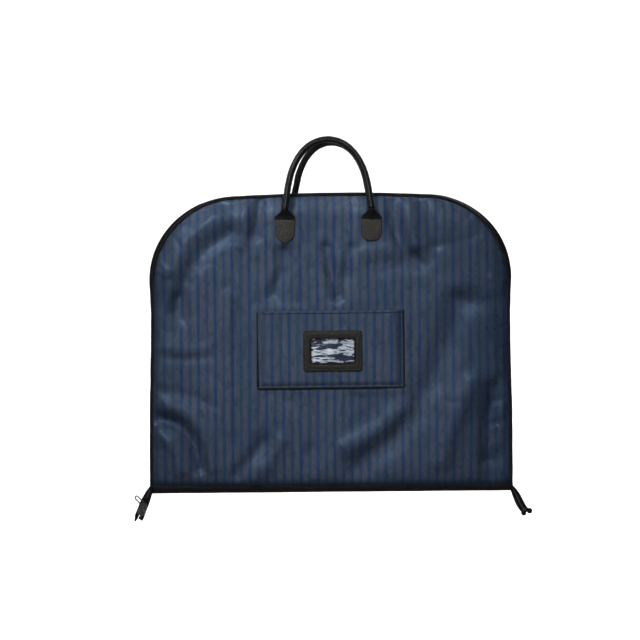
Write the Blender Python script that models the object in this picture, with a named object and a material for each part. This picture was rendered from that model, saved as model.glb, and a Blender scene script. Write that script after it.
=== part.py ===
"""Book-style garment bag, closed and hanging from its two handles.

Two soft trays are joined by a cloth fold along the bottom and by a zip that runs
up one side, over the top and down the other. The front tray carries a patch
pocket with a framed name window, and each tray carries one rolled leather handle.

Metres, +X to the right in the front view, -Y to the front, +Z up.
The origin is the carry grip: the underside of the handles' arch.
"""

import math

import bmesh
import bpy
from mathutils import Matrix, Vector

# ---------------------------------------------------------------- driving sizes
GAP = 0.0003  # kept between pieces that touch

# the closed bag
HALF_WIDTH = 0.300
TOP_Z = -0.079
FOLD_Z = -0.572  # lowest line of the bag, where the two trays fold
CORNER_RADIUS = 0.145
TOP_CROWN = 0.004
CORNER_STEPS = 12
TOP_STEPS = 8

# the zip and the piping, as insets from the bag's outer line and depths from the zip's plane
TEETH_INSET = (0.0002, 0.0026)
TEETH_DEPTH = (0.0002, 0.0023)
TAPE_INSET = (0.0006, 0.0018)
TAPE_DEPTH = (0.0026, 0.0070)
PIPING_RADIUS = 0.0023
PIPING_INSET = 0.0026
PIPING_DEPTH = 0.0096
PIPING_SIDES = 10

# each tray: inset from the outer line, rise above the lower edge, depth of the outer face
TRAY_SECTION = (
    (0.0052, 0.0000, 0.0095),
    (0.0120, 0.0070, 0.0145),
    (0.0220, 0.0170, 0.0190),
    (0.0320, 0.0280, 0.0213),
    (0.0420, 0.0400, 0.0220),
)
PANEL_WALL = 0.0016
LINING_WALL = 0.0008
LINING_INSET = 0.0015  # how far the lining stops short of the panel's edge
FACE_DEPTH = TRAY_SECTION[-1][2]
TRAY_FOOT_Z = FOLD_Z + 0.0076  # lower edge of the trays, zip tapes and piping

# the cloth fold under the trays
SPINE_RADIUS = 0.0073
SPINE_WALL = 0.0014
SPINE_HALF_LENGTH = 0.292
SPINE_STEPS = 12

# handles
HANDLE_RADIUS = 0.0055
CORE_RADIUS = 0.0034
HANDLE_WALL = HANDLE_RADIUS - CORE_RADIUS - GAP
HANDLE_SIDES = 10
HANDLE_PIVOT_Z = -0.112
HANDLE_PIVOT_DEPTH = 0.0336
GRIP_DEPTH = 0.0061  # how far each grip lies from the bag's middle plane
HANDLE_ROUTE = (  # half of one arch, from the pivot to the grip: distance from its middle, height
    (0.0710, -0.1120),
    (0.0690, -0.0930),
    (0.0655, -0.0680),
    (0.0600, -0.0450),
    (0.0505, -0.0235),
    (0.0375, -0.0065),
    (0.0205, 0.0050),
    (0.0000, 0.0092),
)
ROUTE_STEPS = 2
FRONT_HANDLE_X = -0.003
REAR_HANDLE_X = 0.0015
REAR_ARCH_SQUEEZE = 0.94
REAR_ARCH_DROP = 0.0037

# leather patches under the handle ends
PATCH_WIDTH = 0.034
PATCH_TOP_Z = -0.1248
PATCH_SHOULDER_Z = -0.146
PATCH_BOTTOM_Z = -0.1595
PATCH_WALL = 0.0023
TAB_TOP_Z = -0.1106
TAB_WALL = 0.0021
PATCH_STEPS = 5

# pocket on the front and its name window
POCKET_WIDTH = 0.240
POCKET_TOP_Z = -0.2745
POCKET_BOTTOM_Z = -0.401
POCKET_DEPTH = 0.0040
POCKET_WALL = 0.0012
POCKET_SEAM = 0.004
WINDOW_X = 0.0033
WINDOW_Z = -0.3402
FRAME_SIZE = (0.096, 0.066)
WINDOW_SIZE = (0.072, 0.041)
FRAME_WALL = 0.0020
FILM_WALL = 0.0005
FILM_MARGIN = 0.005
FRAME_CORNER = 0.007
WINDOW_CORNER = 0.005

# zip tails below the lower corners; the left one leans out from the slider's place
TAIL_HALF_WALL = 0.0013
LEFT_TAIL_LEAN = math.radians(21.7)
SLIDER_X = -0.3129
SLIDER_Z = -0.6010
TAIL_HALF_WIDTH = 0.0048
SLOT_HALF_WIDTH = 0.0013
SLOT_TOP = 0.0032
RIGHT_TAIL = (  # centre line and width, from the bag's corner to the end
    (0.2990, -0.5670, 0.0060),
    (0.3035, -0.5740, 0.0075),
    (0.3078, -0.5830, 0.0110),
    (0.3128, -0.5955, 0.0124),
    (0.3190, -0.6052, 0.0120),
    (0.3240, -0.6107, 0.0130),
    (0.3257, -0.6125, 0.0154),
)
TAIL_NOTCH = 0.0022
LEFT_TAIL_PIVOT = (-0.2987, 0.0, -0.5675)
RIGHT_TAIL_PIVOT = (0.2995, 0.0, -0.5675)

# slider and its pull, measured from the slider's middle
SLIDER_LENGTH = 0.022
SLIDER_WIDE = 0.0130
SLIDER_NARROW = 0.0090
PLATE_DEPTH = (0.0018, 0.0040)
POST_HALF_WIDTH = 0.0008
POST_SPAN = (-0.0095, -0.0045)
BRIDGE_AT = 0.0075
BRIDGE_HALF_SPAN = 0.0032
BRIDGE_WALL = 0.0012
BRIDGE_HOLE = 0.0024
BRIDGE_LENGTH = 0.0024
PULL_WIRE = 0.00075
PULL_HALF_WIDTH = 0.0030
PULL_LENGTH = 0.0150

# straps inside the back tray
WEBBING_WALL = 0.0016
WEBBING_WIDTH = 0.025
STRAP_Z = -0.330
STRAP_REACH = 0.232
STRAP_DEPTH = 0.0180  # middle of the webbing that lies on the lining
BUCKLE_DEPTH = (0.0113, 0.0189)
BUCKLE_HEIGHT = 0.034
SOCKET_SPAN = (0.0005, 0.036)
TONGUE_SPAN = (-0.030, 0.0)
PRONG_REACH = 0.018
PRONG_HALF_HEIGHT = 0.010
PRONG_DEPTH = (0.0137, 0.0165)
HANGER_ROUTE = (  # fixed part of the hanger loop: depth, height
    (0.0180, -0.1180),
    (0.0180, -0.1760),
    (0.0165, -0.1790),
    (0.0090, -0.1796),
)
FLAP_ROUTE = (  # the part that opens
    (0.0084, -0.1775),
    (0.0084, -0.1620),
    (0.0100, -0.1565),
    (0.0136, -0.1510),
    (0.0158, -0.1470),
    (0.0158, -0.1360),
)
SNAP_RADIUS = 0.0055
SNAP_WALL = 0.0016
SNAP_Z = -0.1415

# colours, as linear RGB with roughness and metallic
CLOTH = ((0.055, 0.065, 0.090), 0.55, 0.0)
LINING = ((0.020, 0.022, 0.030), 0.60, 0.0)
BLACK_LEATHER = ((0.012, 0.011, 0.011), 0.45, 0.0)
BROWN_LEATHER = ((0.035, 0.028, 0.025), 0.50, 0.0)
BLACK_TAPE = ((0.010, 0.010, 0.012), 0.80, 0.0)
BLACK_PLASTIC = ((0.015, 0.015, 0.017), 0.35, 0.0)
ROPE = ((0.300, 0.270, 0.220), 0.90, 0.0)
CLEAR_FILM = ((0.700, 0.720, 0.760), 0.15, 0.0)
NICKEL = ((0.550, 0.550, 0.540), 0.25, 1.0)

FRONT = -1  # side of the bag's middle plane that a tray lies on
BACK = 1


# ---------------------------------------------------------------- scene and objects
def clear_scene():
    for item in list(bpy.data.objects):
        bpy.data.objects.remove(item, do_unlink=True)


def make_material(name, look):
    colour, roughness, metallic = look
    material = bpy.data.materials.new(name)
    material.use_nodes = True
    shader = material.node_tree.nodes["Principled BSDF"]
    shader.inputs["Base Color"].default_value = (*colour, 1.0)
    shader.inputs["Roughness"].default_value = roughness
    shader.inputs["Metallic"].default_value = metallic
    material.diffuse_color = (*colour, 1.0)
    return material


def make_joint(name, at, parent=None):
    """An empty on a joint's axis; the pieces that turn or slide hang on it."""
    empty = bpy.data.objects.new(name, None)
    empty.empty_display_size = 0.02
    bpy.context.collection.objects.link(empty)
    place = Vector(at)
    if parent:
        empty.parent = parent
        place = place - Vector(parent["world"])
    empty.location = place
    empty["world"] = tuple(at)
    return empty


def make_object(name, bm, look, joint=None, smooth=True):
    """Turns a bmesh in world coordinates into a named object on its joint's empty."""
    if joint:
        bmesh.ops.translate(bm, vec=-Vector(joint["world"]), verts=bm.verts)
    bmesh.ops.recalc_face_normals(bm, faces=bm.faces)
    mesh = bpy.data.meshes.new(name)
    bm.to_mesh(mesh)
    bm.free()
    if smooth:
        mesh.shade_smooth()
        mesh.set_sharp_from_angle(angle=math.radians(40))
    item = bpy.data.objects.new(name, mesh)
    item.data.materials.append(make_material(name, look))
    bpy.context.collection.objects.link(item)
    item.parent = joint
    return item


# ---------------------------------------------------------------- shape tools
def add_ring(bm, points):
    return [bm.verts.new(point) for point in points]


def bridge(bm, ring, following):
    count = len(ring)
    for i in range(count):
        j = (i + 1) % count
        bm.faces.new((ring[i], ring[j], following[j], following[i]))


def loft(bm, rings, closed=False):
    """Joins rings of points into one closed skin, capped at both ends unless closed."""
    made = [add_ring(bm, ring) for ring in rings]
    for ring, following in zip(made, made[1:]):
        bridge(bm, ring, following)
    if closed:
        bridge(bm, made[-1], made[0])
    else:
        bm.faces.new(made[0])
        bm.faces.new(made[-1])


def smooth_route(points, steps):
    """A Catmull-Rom curve through the points, with a number of steps between each two."""
    padded = [2 * points[0] - points[1], *points, 2 * points[-1] - points[-2]]
    route = []
    for a, b, c, d in zip(padded, padded[1:], padded[2:], padded[3:]):
        for step in range(steps):
            t = step / steps
            bend = (2 * a - 5 * b + 4 * c - d) * t * t + (3 * (b - c) + d - a) * t**3
            route.append(b + 0.5 * ((c - a) * t + bend))
    route.append(points[-1])
    return route


def arc(middle, radius, start, end, steps):
    """Points of an arc about (x, z), with the angles in degrees."""
    points = []
    for step in range(steps + 1):
        angle = math.radians(start + (end - start) * step / steps)
        points.append((middle[0] + radius * math.cos(angle), middle[1] + radius * math.sin(angle)))
    return points


def rounded_rectangle(middle, size, radius, steps=4):
    half_x = size[0] / 2 - radius
    half_z = size[1] / 2 - radius
    points = []
    for side_x, side_z, start in ((1, 1, 0), (-1, 1, 90), (-1, -1, 180), (1, -1, 270)):
        corner = (middle[0] + side_x * half_x, middle[1] + side_z * half_z)
        points += arc(corner, radius, start, start + 90, steps)
    return points


def plate(bm, outline, y_from, y_to):
    """A flat plate: an (x, z) outline between two depths."""
    loft(bm, [[(x, y, z) for x, z in outline] for y in (y_from, y_to)])


def box(bm, low, high):
    outline = ((low[0], low[2]), (high[0], low[2]), (high[0], high[2]), (low[0], high[2]))
    plate(bm, outline, low[1], high[1])


def tube_rings(route, radius, sides):
    """Rings of a round tube along a route of points."""
    rings = []
    for i, point in enumerate(route):
        before = route[max(i - 1, 0)]
        after = route[min(i + 1, len(route) - 1)]
        along = (after - before).normalized()
        across = along.cross(Vector((0, 1, 0))).normalized()
        up = across.cross(along)
        ring = []
        for k in range(sides):
            angle = 2 * math.pi * k / sides
            ring.append(point + radius * (math.cos(angle) * across + math.sin(angle) * up))
        rings.append(ring)
    return rings


def ribbon(bm, route, wall, x_from, x_to):
    """Webbing of even thickness that follows a (depth, height) route between two x values."""
    points = [Vector((y, z)) for y, z in route]
    inner = []
    outer = []
    for i, point in enumerate(points):
        along = (points[min(i + 1, len(points) - 1)] - points[max(i - 1, 0)]).normalized()
        side = Vector((along.y, -along.x)) * wall / 2
        inner.append(point - side)
        outer.append(point + side)
    outline = inner + outer[::-1]
    loft(bm, [[(x, p.x, p.y) for p in outline] for x in (x_from, x_to)])


# ---------------------------------------------------------------- the bag's outline
def bag_outline():
    """The bag's outer line from the lower left corner over the top, as (point, outward normal)."""
    middle_x = HALF_WIDTH - CORNER_RADIUS
    shoulder_z = TOP_Z - TOP_CROWN - CORNER_RADIUS
    points = [(-HALF_WIDTH, TRAY_FOOT_Z)]
    points += arc((-middle_x, shoulder_z), CORNER_RADIUS, 180, 90, CORNER_STEPS)
    for step in range(1, TOP_STEPS):
        share = 2 * step / TOP_STEPS - 1
        points.append((middle_x * share, TOP_Z - TOP_CROWN * share * share))
    points += arc((middle_x, shoulder_z), CORNER_RADIUS, 90, 0, CORNER_STEPS)
    points.append((HALF_WIDTH, TRAY_FOOT_Z))
    line = []
    for i, point in enumerate(points):
        before = Vector(points[max(i - 1, 0)])
        after = Vector(points[min(i + 1, len(points) - 1)])
        along = (after - before).normalized()
        line.append((Vector(point), Vector((-along.y, along.x))))
    line[0] = (line[0][0], Vector((-1, 0)))
    line[-1] = (line[-1][0], Vector((1, 0)))
    return line


def inset_loop(inset, rise):
    """The outline moved in by an inset, with its lower edge raised."""
    loop = [point - normal * inset for point, normal in bag_outline()]
    loop[0].y = TRAY_FOOT_Z + rise
    loop[-1].y = TRAY_FOOT_Z + rise
    return loop


def make_tray(name, side, look, wall, under, joint):
    """One soft tray; under is how far its outer face lies below the cloth's."""
    extra = LINING_INSET if under else 0.0
    bm = bmesh.new()
    rings = []
    for layer in (under + wall, under):
        section = TRAY_SECTION if layer == under else TRAY_SECTION[::-1]
        for inset, rise, depth in section:
            loop = inset_loop(inset + extra, rise + extra)
            rings.append([(p.x, side * (depth - layer), p.y) for p in loop])
    loft(bm, rings)
    return make_object(name, bm, look, joint)


def make_band(name, side, section, look, joint):
    """A band that runs round the bag's edge with a closed section of (inset, depth) points."""
    bm = bmesh.new()
    rings = []
    for point, normal in bag_outline():
        ring = []
        for inset, depth in section:
            place = point - normal * inset
            ring.append((place.x, side * depth, place.y))
        rings.append(ring)
    loft(bm, rings)
    return make_object(name, bm, look, joint)


def square_section(inset, depth):
    return ((inset[0], depth[0]), (inset[1], depth[0]), (inset[1], depth[1]), (inset[0], depth[1]))


# ---------------------------------------------------------------- sub-parts
def build_half(word, side, joint):
    make_tray(f"{word}_panel", side, CLOTH, PANEL_WALL, 0.0, joint)
    make_tray(f"{word}_lining", side, LINING, LINING_WALL, PANEL_WALL + GAP, joint)
    round_section = arc((PIPING_INSET, PIPING_DEPTH), PIPING_RADIUS, 0, 360, PIPING_SIDES)[:-1]
    make_band(f"{word}_piping", side, round_section, BLACK_LEATHER, joint)
    tape = square_section(TAPE_INSET, TAPE_DEPTH)
    make_band(f"{word}_zip_tape", side, tape, BLACK_TAPE, joint)
    teeth = square_section(TEETH_INSET, TEETH_DEPTH)
    make_band(f"{word}_zip_teeth", side, teeth, BLACK_PLASTIC, joint)


def build_fold_spine():
    """A half-round gutter of cloth below the two trays."""
    middle = (0.0, FOLD_Z + SPINE_RADIUS)
    outer = arc(middle, SPINE_RADIUS, 180, 360, SPINE_STEPS)
    inner = arc(middle, SPINE_RADIUS - SPINE_WALL, 360, 180, SPINE_STEPS)
    bm = bmesh.new()
    ends = (-SPINE_HALF_LENGTH, SPINE_HALF_LENGTH)
    loft(bm, [[(x, y, z) for y, z in outer + inner] for x in ends])
    make_object("fold_spine", bm, CLOTH)


def build_patches(word, side, middle_x, joint):
    """The shield and the black tab that hold each end of one handle."""
    half = PATCH_WIDTH / 2
    face = FACE_DEPTH + GAP
    for place, sign in (("left", -1), ("right", 1)):
        at = middle_x + sign * HANDLE_ROUTE[0][0]
        drop = PATCH_SHOULDER_Z - PATCH_BOTTOM_Z
        shield = [(at + half, PATCH_TOP_Z)]
        for x, z in arc((0.0, 0.0), 1.0, 0, -180, 2 * PATCH_STEPS):
            shield.append((at + half * x, PATCH_SHOULDER_Z + drop * z))
        shield.append((at - half, PATCH_TOP_Z))
        bm = bmesh.new()
        plate(bm, shield, side * face, side * (face + PATCH_WALL))
        make_object(f"{word}_{place}_patch", bm, BROWN_LEATHER, joint)

        rise = TAB_TOP_Z - PATCH_TOP_Z - GAP
        dome = []
        for x, z in arc((0.0, 0.0), 1.0, 0, 180, 2 * PATCH_STEPS):
            dome.append((at + half * x, PATCH_TOP_Z + GAP + rise * z))
        bm = bmesh.new()
        plate(bm, dome, side * face, side * (face + PATCH_WALL + TAB_WALL))
        make_object(f"{word}_{place}_handle_tab", bm, BLACK_LEATHER, joint)


def handle_points(side, middle_x, squeeze, drop):
    """The middle line of one handle from its left pivot over the grip to the right one."""
    grip_z = HANDLE_ROUTE[-1][1] - drop
    half = []
    for i, (reach, z) in enumerate(HANDLE_ROUTE):
        share = (z - HANDLE_PIVOT_Z) / (HANDLE_ROUTE[-1][1] - HANDLE_PIVOT_Z)
        depth = HANDLE_PIVOT_DEPTH + (GRIP_DEPTH - HANDLE_PIVOT_DEPTH) * share
        height = HANDLE_PIVOT_Z + (grip_z - HANDLE_PIVOT_Z) * share
        width = reach if i == 0 else reach * squeeze
        half.append((width, side * depth, height))
    left = [Vector((middle_x - x, y, z)) for x, y, z in half]
    right = [Vector((middle_x + x, y, z)) for x, y, z in half[-2::-1]]
    return smooth_route(left + right, ROUTE_STEPS)


def build_handle(word, side, middle_x, squeeze, drop, joint):
    """A rolled leather cover, open at both ends, round a rope core with rounded ends."""
    route = handle_points(side, middle_x, squeeze, drop)
    outer = tube_rings(route, HANDLE_RADIUS, HANDLE_SIDES)
    inner = tube_rings(route, HANDLE_RADIUS - HANDLE_WALL, HANDLE_SIDES)
    bm = bmesh.new()
    loft(bm, outer + inner[::-1], closed=True)
    make_object(f"{word}_handle_cover", bm, BLACK_LEATHER, joint)

    first = (route[0] - route[1]).normalized() * CORE_RADIUS
    last = (route[-1] - route[-2]).normalized() * CORE_RADIUS
    bm = bmesh.new()
    core = tube_rings(route, CORE_RADIUS, HANDLE_SIDES)
    core[0] = [point - first for point in core[0]]
    core[-1] = [point - last for point in core[-1]]
    tip_scale = 0.7
    tips = []
    for ring, step in ((core[0], first), (core[-1], last)):
        middle = sum(ring, Vector()) / len(ring)
        tips.append([middle + (point - middle) * tip_scale + step for point in ring])
    loft(bm, [tips[0], *core, tips[1]])
    make_object(f"{word}_handle_core", bm, ROPE, joint)


def build_pocket(joint):
    """The patch pocket: a cloth face with a sewn rim left, right and below, open at the top."""
    half = POCKET_WIDTH / 2
    base = -(FACE_DEPTH + GAP)
    face = base - POCKET_DEPTH
    corners = ((-half, POCKET_TOP_Z), (-half, POCKET_BOTTOM_Z), (half, POCKET_BOTTOM_Z), (half, POCKET_TOP_Z))
    inside = half - POCKET_SEAM
    foot = POCKET_BOTTOM_Z + POCKET_SEAM
    hollow = ((-inside, POCKET_TOP_Z), (-inside, foot), (inside, foot), (inside, POCKET_TOP_Z))
    inner_face = face + POCKET_WALL
    bm = bmesh.new()
    outer_front = add_ring(bm, [(x, face, z) for x, z in corners])
    outer_back = add_ring(bm, [(x, base, z) for x, z in corners])
    inner_back = add_ring(bm, [(x, base, z) for x, z in hollow])
    inner_front = add_ring(bm, [(x, inner_face, z) for x, z in hollow])
    bm.faces.new(outer_front)
    bm.faces.new(inner_front)
    for i in range(3):
        j = i + 1
        bm.faces.new((outer_front[i], outer_front[j], outer_back[j], outer_back[i]))
        bm.faces.new((outer_back[i], outer_back[j], inner_back[j], inner_back[i]))
        bm.faces.new((inner_back[i], inner_back[j], inner_front[j], inner_front[i]))
    rim = (outer_front[0], outer_back[0], inner_back[0], inner_front[0])
    far_rim = (inner_front[3], inner_back[3], outer_back[3], outer_front[3])
    bm.faces.new(rim + far_rim)
    make_object("card_pocket", bm, CLOTH, joint)
    return face


def build_name_window(face, joint):
    """A clear film on the pocket and the leather frame that holds it."""
    middle = (WINDOW_X, WINDOW_Z)
    film_size = (WINDOW_SIZE[0] + 2 * FILM_MARGIN, WINDOW_SIZE[1] + 2 * FILM_MARGIN)
    bm = bmesh.new()
    film = rounded_rectangle(middle, film_size, WINDOW_CORNER)
    plate(bm, film, face - GAP, face - GAP - FILM_WALL)
    make_object("name_window_film", bm, CLEAR_FILM, joint)

    back = face - 2 * GAP - FILM_WALL
    outer = rounded_rectangle(middle, FRAME_SIZE, FRAME_CORNER)
    inner = rounded_rectangle(middle, WINDOW_SIZE, WINDOW_CORNER)
    bm = bmesh.new()
    rings = []
    for outline, y in ((outer, back), (outer, back - FRAME_WALL), (inner, back - FRAME_WALL), (inner, back)):
        rings.append([(x, y, z) for x, z in outline])
    loft(bm, rings, closed=True)
    make_object("name_window_frame", bm, BLACK_LEATHER, joint)


def tail_frame():
    """The left tail's own frame: X across it towards the bag, Z up along it."""
    middle = Matrix.Translation((SLIDER_X, 0.0, SLIDER_Z))
    return middle @ Matrix.Rotation(LEFT_TAIL_LEAN, 4, "Y")


def build_left_tail(joint):
    """The zip's free end, split below the slider into a long thin end and a short one."""
    half = TAIL_HALF_WIDTH
    slot = SLOT_HALF_WIDTH
    outline = (
        (-0.0022, 0.0360),
        (-0.0033, 0.0300),
        (-0.0043, 0.0225),
        (-half, 0.0160),
        (-half, -0.0160),
        (-0.0038, -0.0180),
        (-0.0036, -0.0222),
        (-0.0025, -0.0234),
        (-slot, -0.0222),
        (-slot, SLOT_TOP),
        (slot, SLOT_TOP),
        (slot, -0.0168),
        (0.0020, -0.0176),
        (0.0042, -0.0172),
        (half, -0.0155),
        (half, 0.0160),
        (0.0041, 0.0225),
        (0.0036, 0.0300),
        (0.0036, 0.0360),
    )
    bm = bmesh.new()
    plate(bm, outline, -TAIL_HALF_WALL, TAIL_HALF_WALL)
    bmesh.ops.transform(bm, matrix=tail_frame(), verts=bm.verts)
    make_object("left_zip_tail", bm, BLACK_TAPE, joint)


def build_right_tail(joint):
    """The zip's other end, a strap that widens to a forked tape end, with its metal stop."""
    left = []
    right = []
    for i, (x, z, width) in enumerate(RIGHT_TAIL):
        before = RIGHT_TAIL[max(i - 1, 0)]
        after = RIGHT_TAIL[min(i + 1, len(RIGHT_TAIL) - 1)]
        along = Vector((after[0] - before[0], after[1] - before[1])).normalized()
        side = Vector((-along.y, along.x)) * width / 2
        left.append(Vector((x, z)) - side)
        right.append(Vector((x, z)) + side)
    end = Vector(RIGHT_TAIL[-1][:2]) - along * TAIL_NOTCH
    bm = bmesh.new()
    plate(bm, [*left, end, *right[::-1]], -TAIL_HALF_WALL, TAIL_HALF_WALL)
    make_object("right_zip_tail", bm, BLACK_TAPE, joint)

    stop_half_width = 0.0030
    stop_half_height = 0.0022
    stop_wall = 0.0014
    bm = bmesh.new()
    front = -TAIL_HALF_WALL - GAP
    low = (-stop_half_width, front - stop_wall, -stop_half_height)
    high = (stop_half_width, front, stop_half_height)
    box(bm, low, high)
    turn = Matrix.Rotation(math.atan2(-along.x, -along.y), 4, "Y")
    place = Matrix.Translation((RIGHT_TAIL[-3][0], 0.0, RIGHT_TAIL[-3][1]))
    bmesh.ops.transform(bm, matrix=place @ turn, verts=bm.verts)
    make_object("zip_bottom_stop", bm, NICKEL, joint)


def hide_operand(item):
    item.hide_render = True
    item.display_type = "WIRE"


def build_slider(joint):
    """Two tapered plates round the tape, joined by a post in its slot, with a bridge on the front."""
    half = SLIDER_LENGTH / 2
    wide = SLIDER_WIDE / 2
    narrow = SLIDER_NARROW / 2
    chamfer = 0.002
    outline = (
        (-wide + chamfer, -half),
        (wide - chamfer, -half),
        (wide, -half + chamfer),
        (wide, 0.0),
        (narrow, half - chamfer),
        (narrow - chamfer, half),
        (-narrow + chamfer, half),
        (-narrow, half - chamfer),
        (-wide, 0.0),
        (-wide, -half + chamfer),
    )
    near, far = PLATE_DEPTH
    frame = tail_frame()
    bm = bmesh.new()
    plate(bm, outline, near, far)
    plate(bm, outline, -near, -far)
    bmesh.ops.transform(bm, matrix=frame, verts=bm.verts)
    slider = make_object("zip_slider", bm, NICKEL, joint)

    bite = 0.0004  # how far the joined shapes run into each other
    bm = bmesh.new()
    low = (-POST_HALF_WIDTH, -near - bite, POST_SPAN[0])
    high = (POST_HALF_WIDTH, near + bite, POST_SPAN[1])
    box(bm, low, high)
    bmesh.ops.transform(bm, matrix=frame, verts=bm.verts)
    post = make_object("slider_post_shape", bm, NICKEL, joint)

    outer = BRIDGE_HALF_SPAN
    inner = BRIDGE_HALF_SPAN - BRIDGE_WALL
    ceiling = -far - BRIDGE_HOLE
    arch = (
        (-outer, -far + bite),
        (-outer, ceiling - BRIDGE_WALL),
        (outer, ceiling - BRIDGE_WALL),
        (outer, -far + bite),
        (inner, -far + bite),
        (inner, ceiling),
        (-inner, ceiling),
        (-inner, -far + bite),
    )
    bm = bmesh.new()
    ends = (BRIDGE_AT - BRIDGE_LENGTH / 2, BRIDGE_AT + BRIDGE_LENGTH / 2)
    loft(bm, [[(x, y, z) for x, y in arch] for z in ends])
    bmesh.ops.transform(bm, matrix=frame, verts=bm.verts)
    crown = make_object("slider_bridge_shape", bm, NICKEL, joint)

    for operand in (post, crown):
        hide_operand(operand)
        union = slider.modifiers.new("join", "BOOLEAN")
        union.operation = "UNION"
        union.solver = "EXACT"
        union.object = operand


def pull_pivot():
    depth = -(PLATE_DEPTH[1] + BRIDGE_HOLE / 2)
    return tail_frame() @ Vector((0.0, depth, BRIDGE_AT))


def build_pull(joint):
    """An oblong wire ring that passes under the slider's bridge and lies to the outside."""
    depth = -(PLATE_DEPTH[1] + BRIDGE_HOLE / 2)
    radius = PULL_HALF_WIDTH
    near = -radius
    far = -PULL_LENGTH + radius
    loop = arc((near, BRIDGE_AT), radius, -90, 90, 6) + arc((far, BRIDGE_AT), radius, 90, 270, 6)
    sides = 8
    rings = []
    for i, (x, z) in enumerate(loop):
        before = Vector(loop[i - 1])
        after = Vector(loop[(i + 1) % len(loop)])
        along = (after - before).normalized()
        out = Vector((along.y, 0.0, -along.x))
        ring = []
        for k in range(sides):
            angle = 2 * math.pi * k / sides
            lift = Vector((0.0, math.sin(angle), 0.0))
            ring.append(Vector((x, depth, z)) + PULL_WIRE * (math.cos(angle) * out + lift))
        rings.append(ring)
    bm = bmesh.new()
    loft(bm, rings, closed=True)
    bmesh.ops.transform(bm, matrix=tail_frame(), verts=bm.verts)
    make_object("slider_pull_ring", bm, NICKEL, joint)


def build_garment_strap(buckle_joint):
    """The webbing that holds the clothes down in the back tray, with its side-release buckle."""
    half = WEBBING_WIDTH / 2
    low = STRAP_DEPTH - WEBBING_WALL / 2
    high = STRAP_DEPTH + WEBBING_WALL / 2
    bm = bmesh.new()
    box(bm, (SOCKET_SPAN[1] + GAP, low, STRAP_Z - half), (STRAP_REACH, high, STRAP_Z + half))
    make_object("garment_strap_right", bm, BLACK_TAPE)
    bm = bmesh.new()
    box(bm, (-STRAP_REACH, low, STRAP_Z - half), (TONGUE_SPAN[0] - GAP, high, STRAP_Z + half))
    make_object("garment_strap_left", bm, BLACK_TAPE, buckle_joint)

    near, far = BUCKLE_DEPTH
    buckle_half = BUCKLE_HEIGHT / 2
    play = 0.0004
    mouth = PRONG_HALF_HEIGHT + play
    reach = PRONG_REACH + play
    outer = ((near, STRAP_Z - buckle_half), (far, STRAP_Z - buckle_half), (far, STRAP_Z + buckle_half),
             (near, STRAP_Z + buckle_half))
    slot_near = PRONG_DEPTH[0] - play
    slot_far = PRONG_DEPTH[1] + play
    hollow = ((slot_near, STRAP_Z - mouth), (slot_far, STRAP_Z - mouth), (slot_far, STRAP_Z + mouth),
              (slot_near, STRAP_Z + mouth))
    bm = bmesh.new()
    rings = []
    near_end, far_end = SOCKET_SPAN
    for x, section in ((reach, hollow), (near_end, hollow), (near_end, outer), (far_end, outer)):
        rings.append([(x, y, z) for y, z in section])
    loft(bm, rings)
    make_object("buckle_socket", bm, BLACK_PLASTIC)

    prong = ((PRONG_DEPTH[0], STRAP_Z - PRONG_HALF_HEIGHT), (PRONG_DEPTH[1], STRAP_Z - PRONG_HALF_HEIGHT),
             (PRONG_DEPTH[1], STRAP_Z + PRONG_HALF_HEIGHT), (PRONG_DEPTH[0], STRAP_Z + PRONG_HALF_HEIGHT))
    bm = bmesh.new()
    rings = []
    near_end, far_end = TONGUE_SPAN
    for x, section in ((near_end, outer), (far_end, outer), (far_end, prong), (PRONG_REACH, prong)):
        rings.append([(x, y, z) for y, z in section])
    loft(bm, rings)
    make_object("buckle_tongue", bm, BLACK_PLASTIC, buckle_joint)


def disc(bm, middle, radius, wall, sides=16):
    """A round disc across the bag's depth."""
    outline = arc((middle[0], middle[2]), radius, 0, 360, sides)[:-1]
    plate(bm, outline, middle[1], middle[1] + wall)


def build_hanger_loop(flap_joint):
    """The webbing loop that holds a hanger's neck, with a flap closed by a snap."""
    half = WEBBING_WIDTH / 2
    bm = bmesh.new()
    ribbon(bm, HANGER_ROUTE, WEBBING_WALL, -half, half)
    make_object("hanger_loop", bm, BLACK_TAPE)
    bm = bmesh.new()
    ribbon(bm, FLAP_ROUTE, WEBBING_WALL, -half, half)
    make_object("hanger_flap", bm, BLACK_TAPE, flap_joint)
    cap_y = FLAP_ROUTE[-1][0] - WEBBING_WALL / 2 - GAP - SNAP_WALL
    bm = bmesh.new()
    disc(bm, (0.0, cap_y, SNAP_Z), SNAP_RADIUS, SNAP_WALL)
    make_object("hanger_snap", bm, NICKEL, flap_joint)


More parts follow.
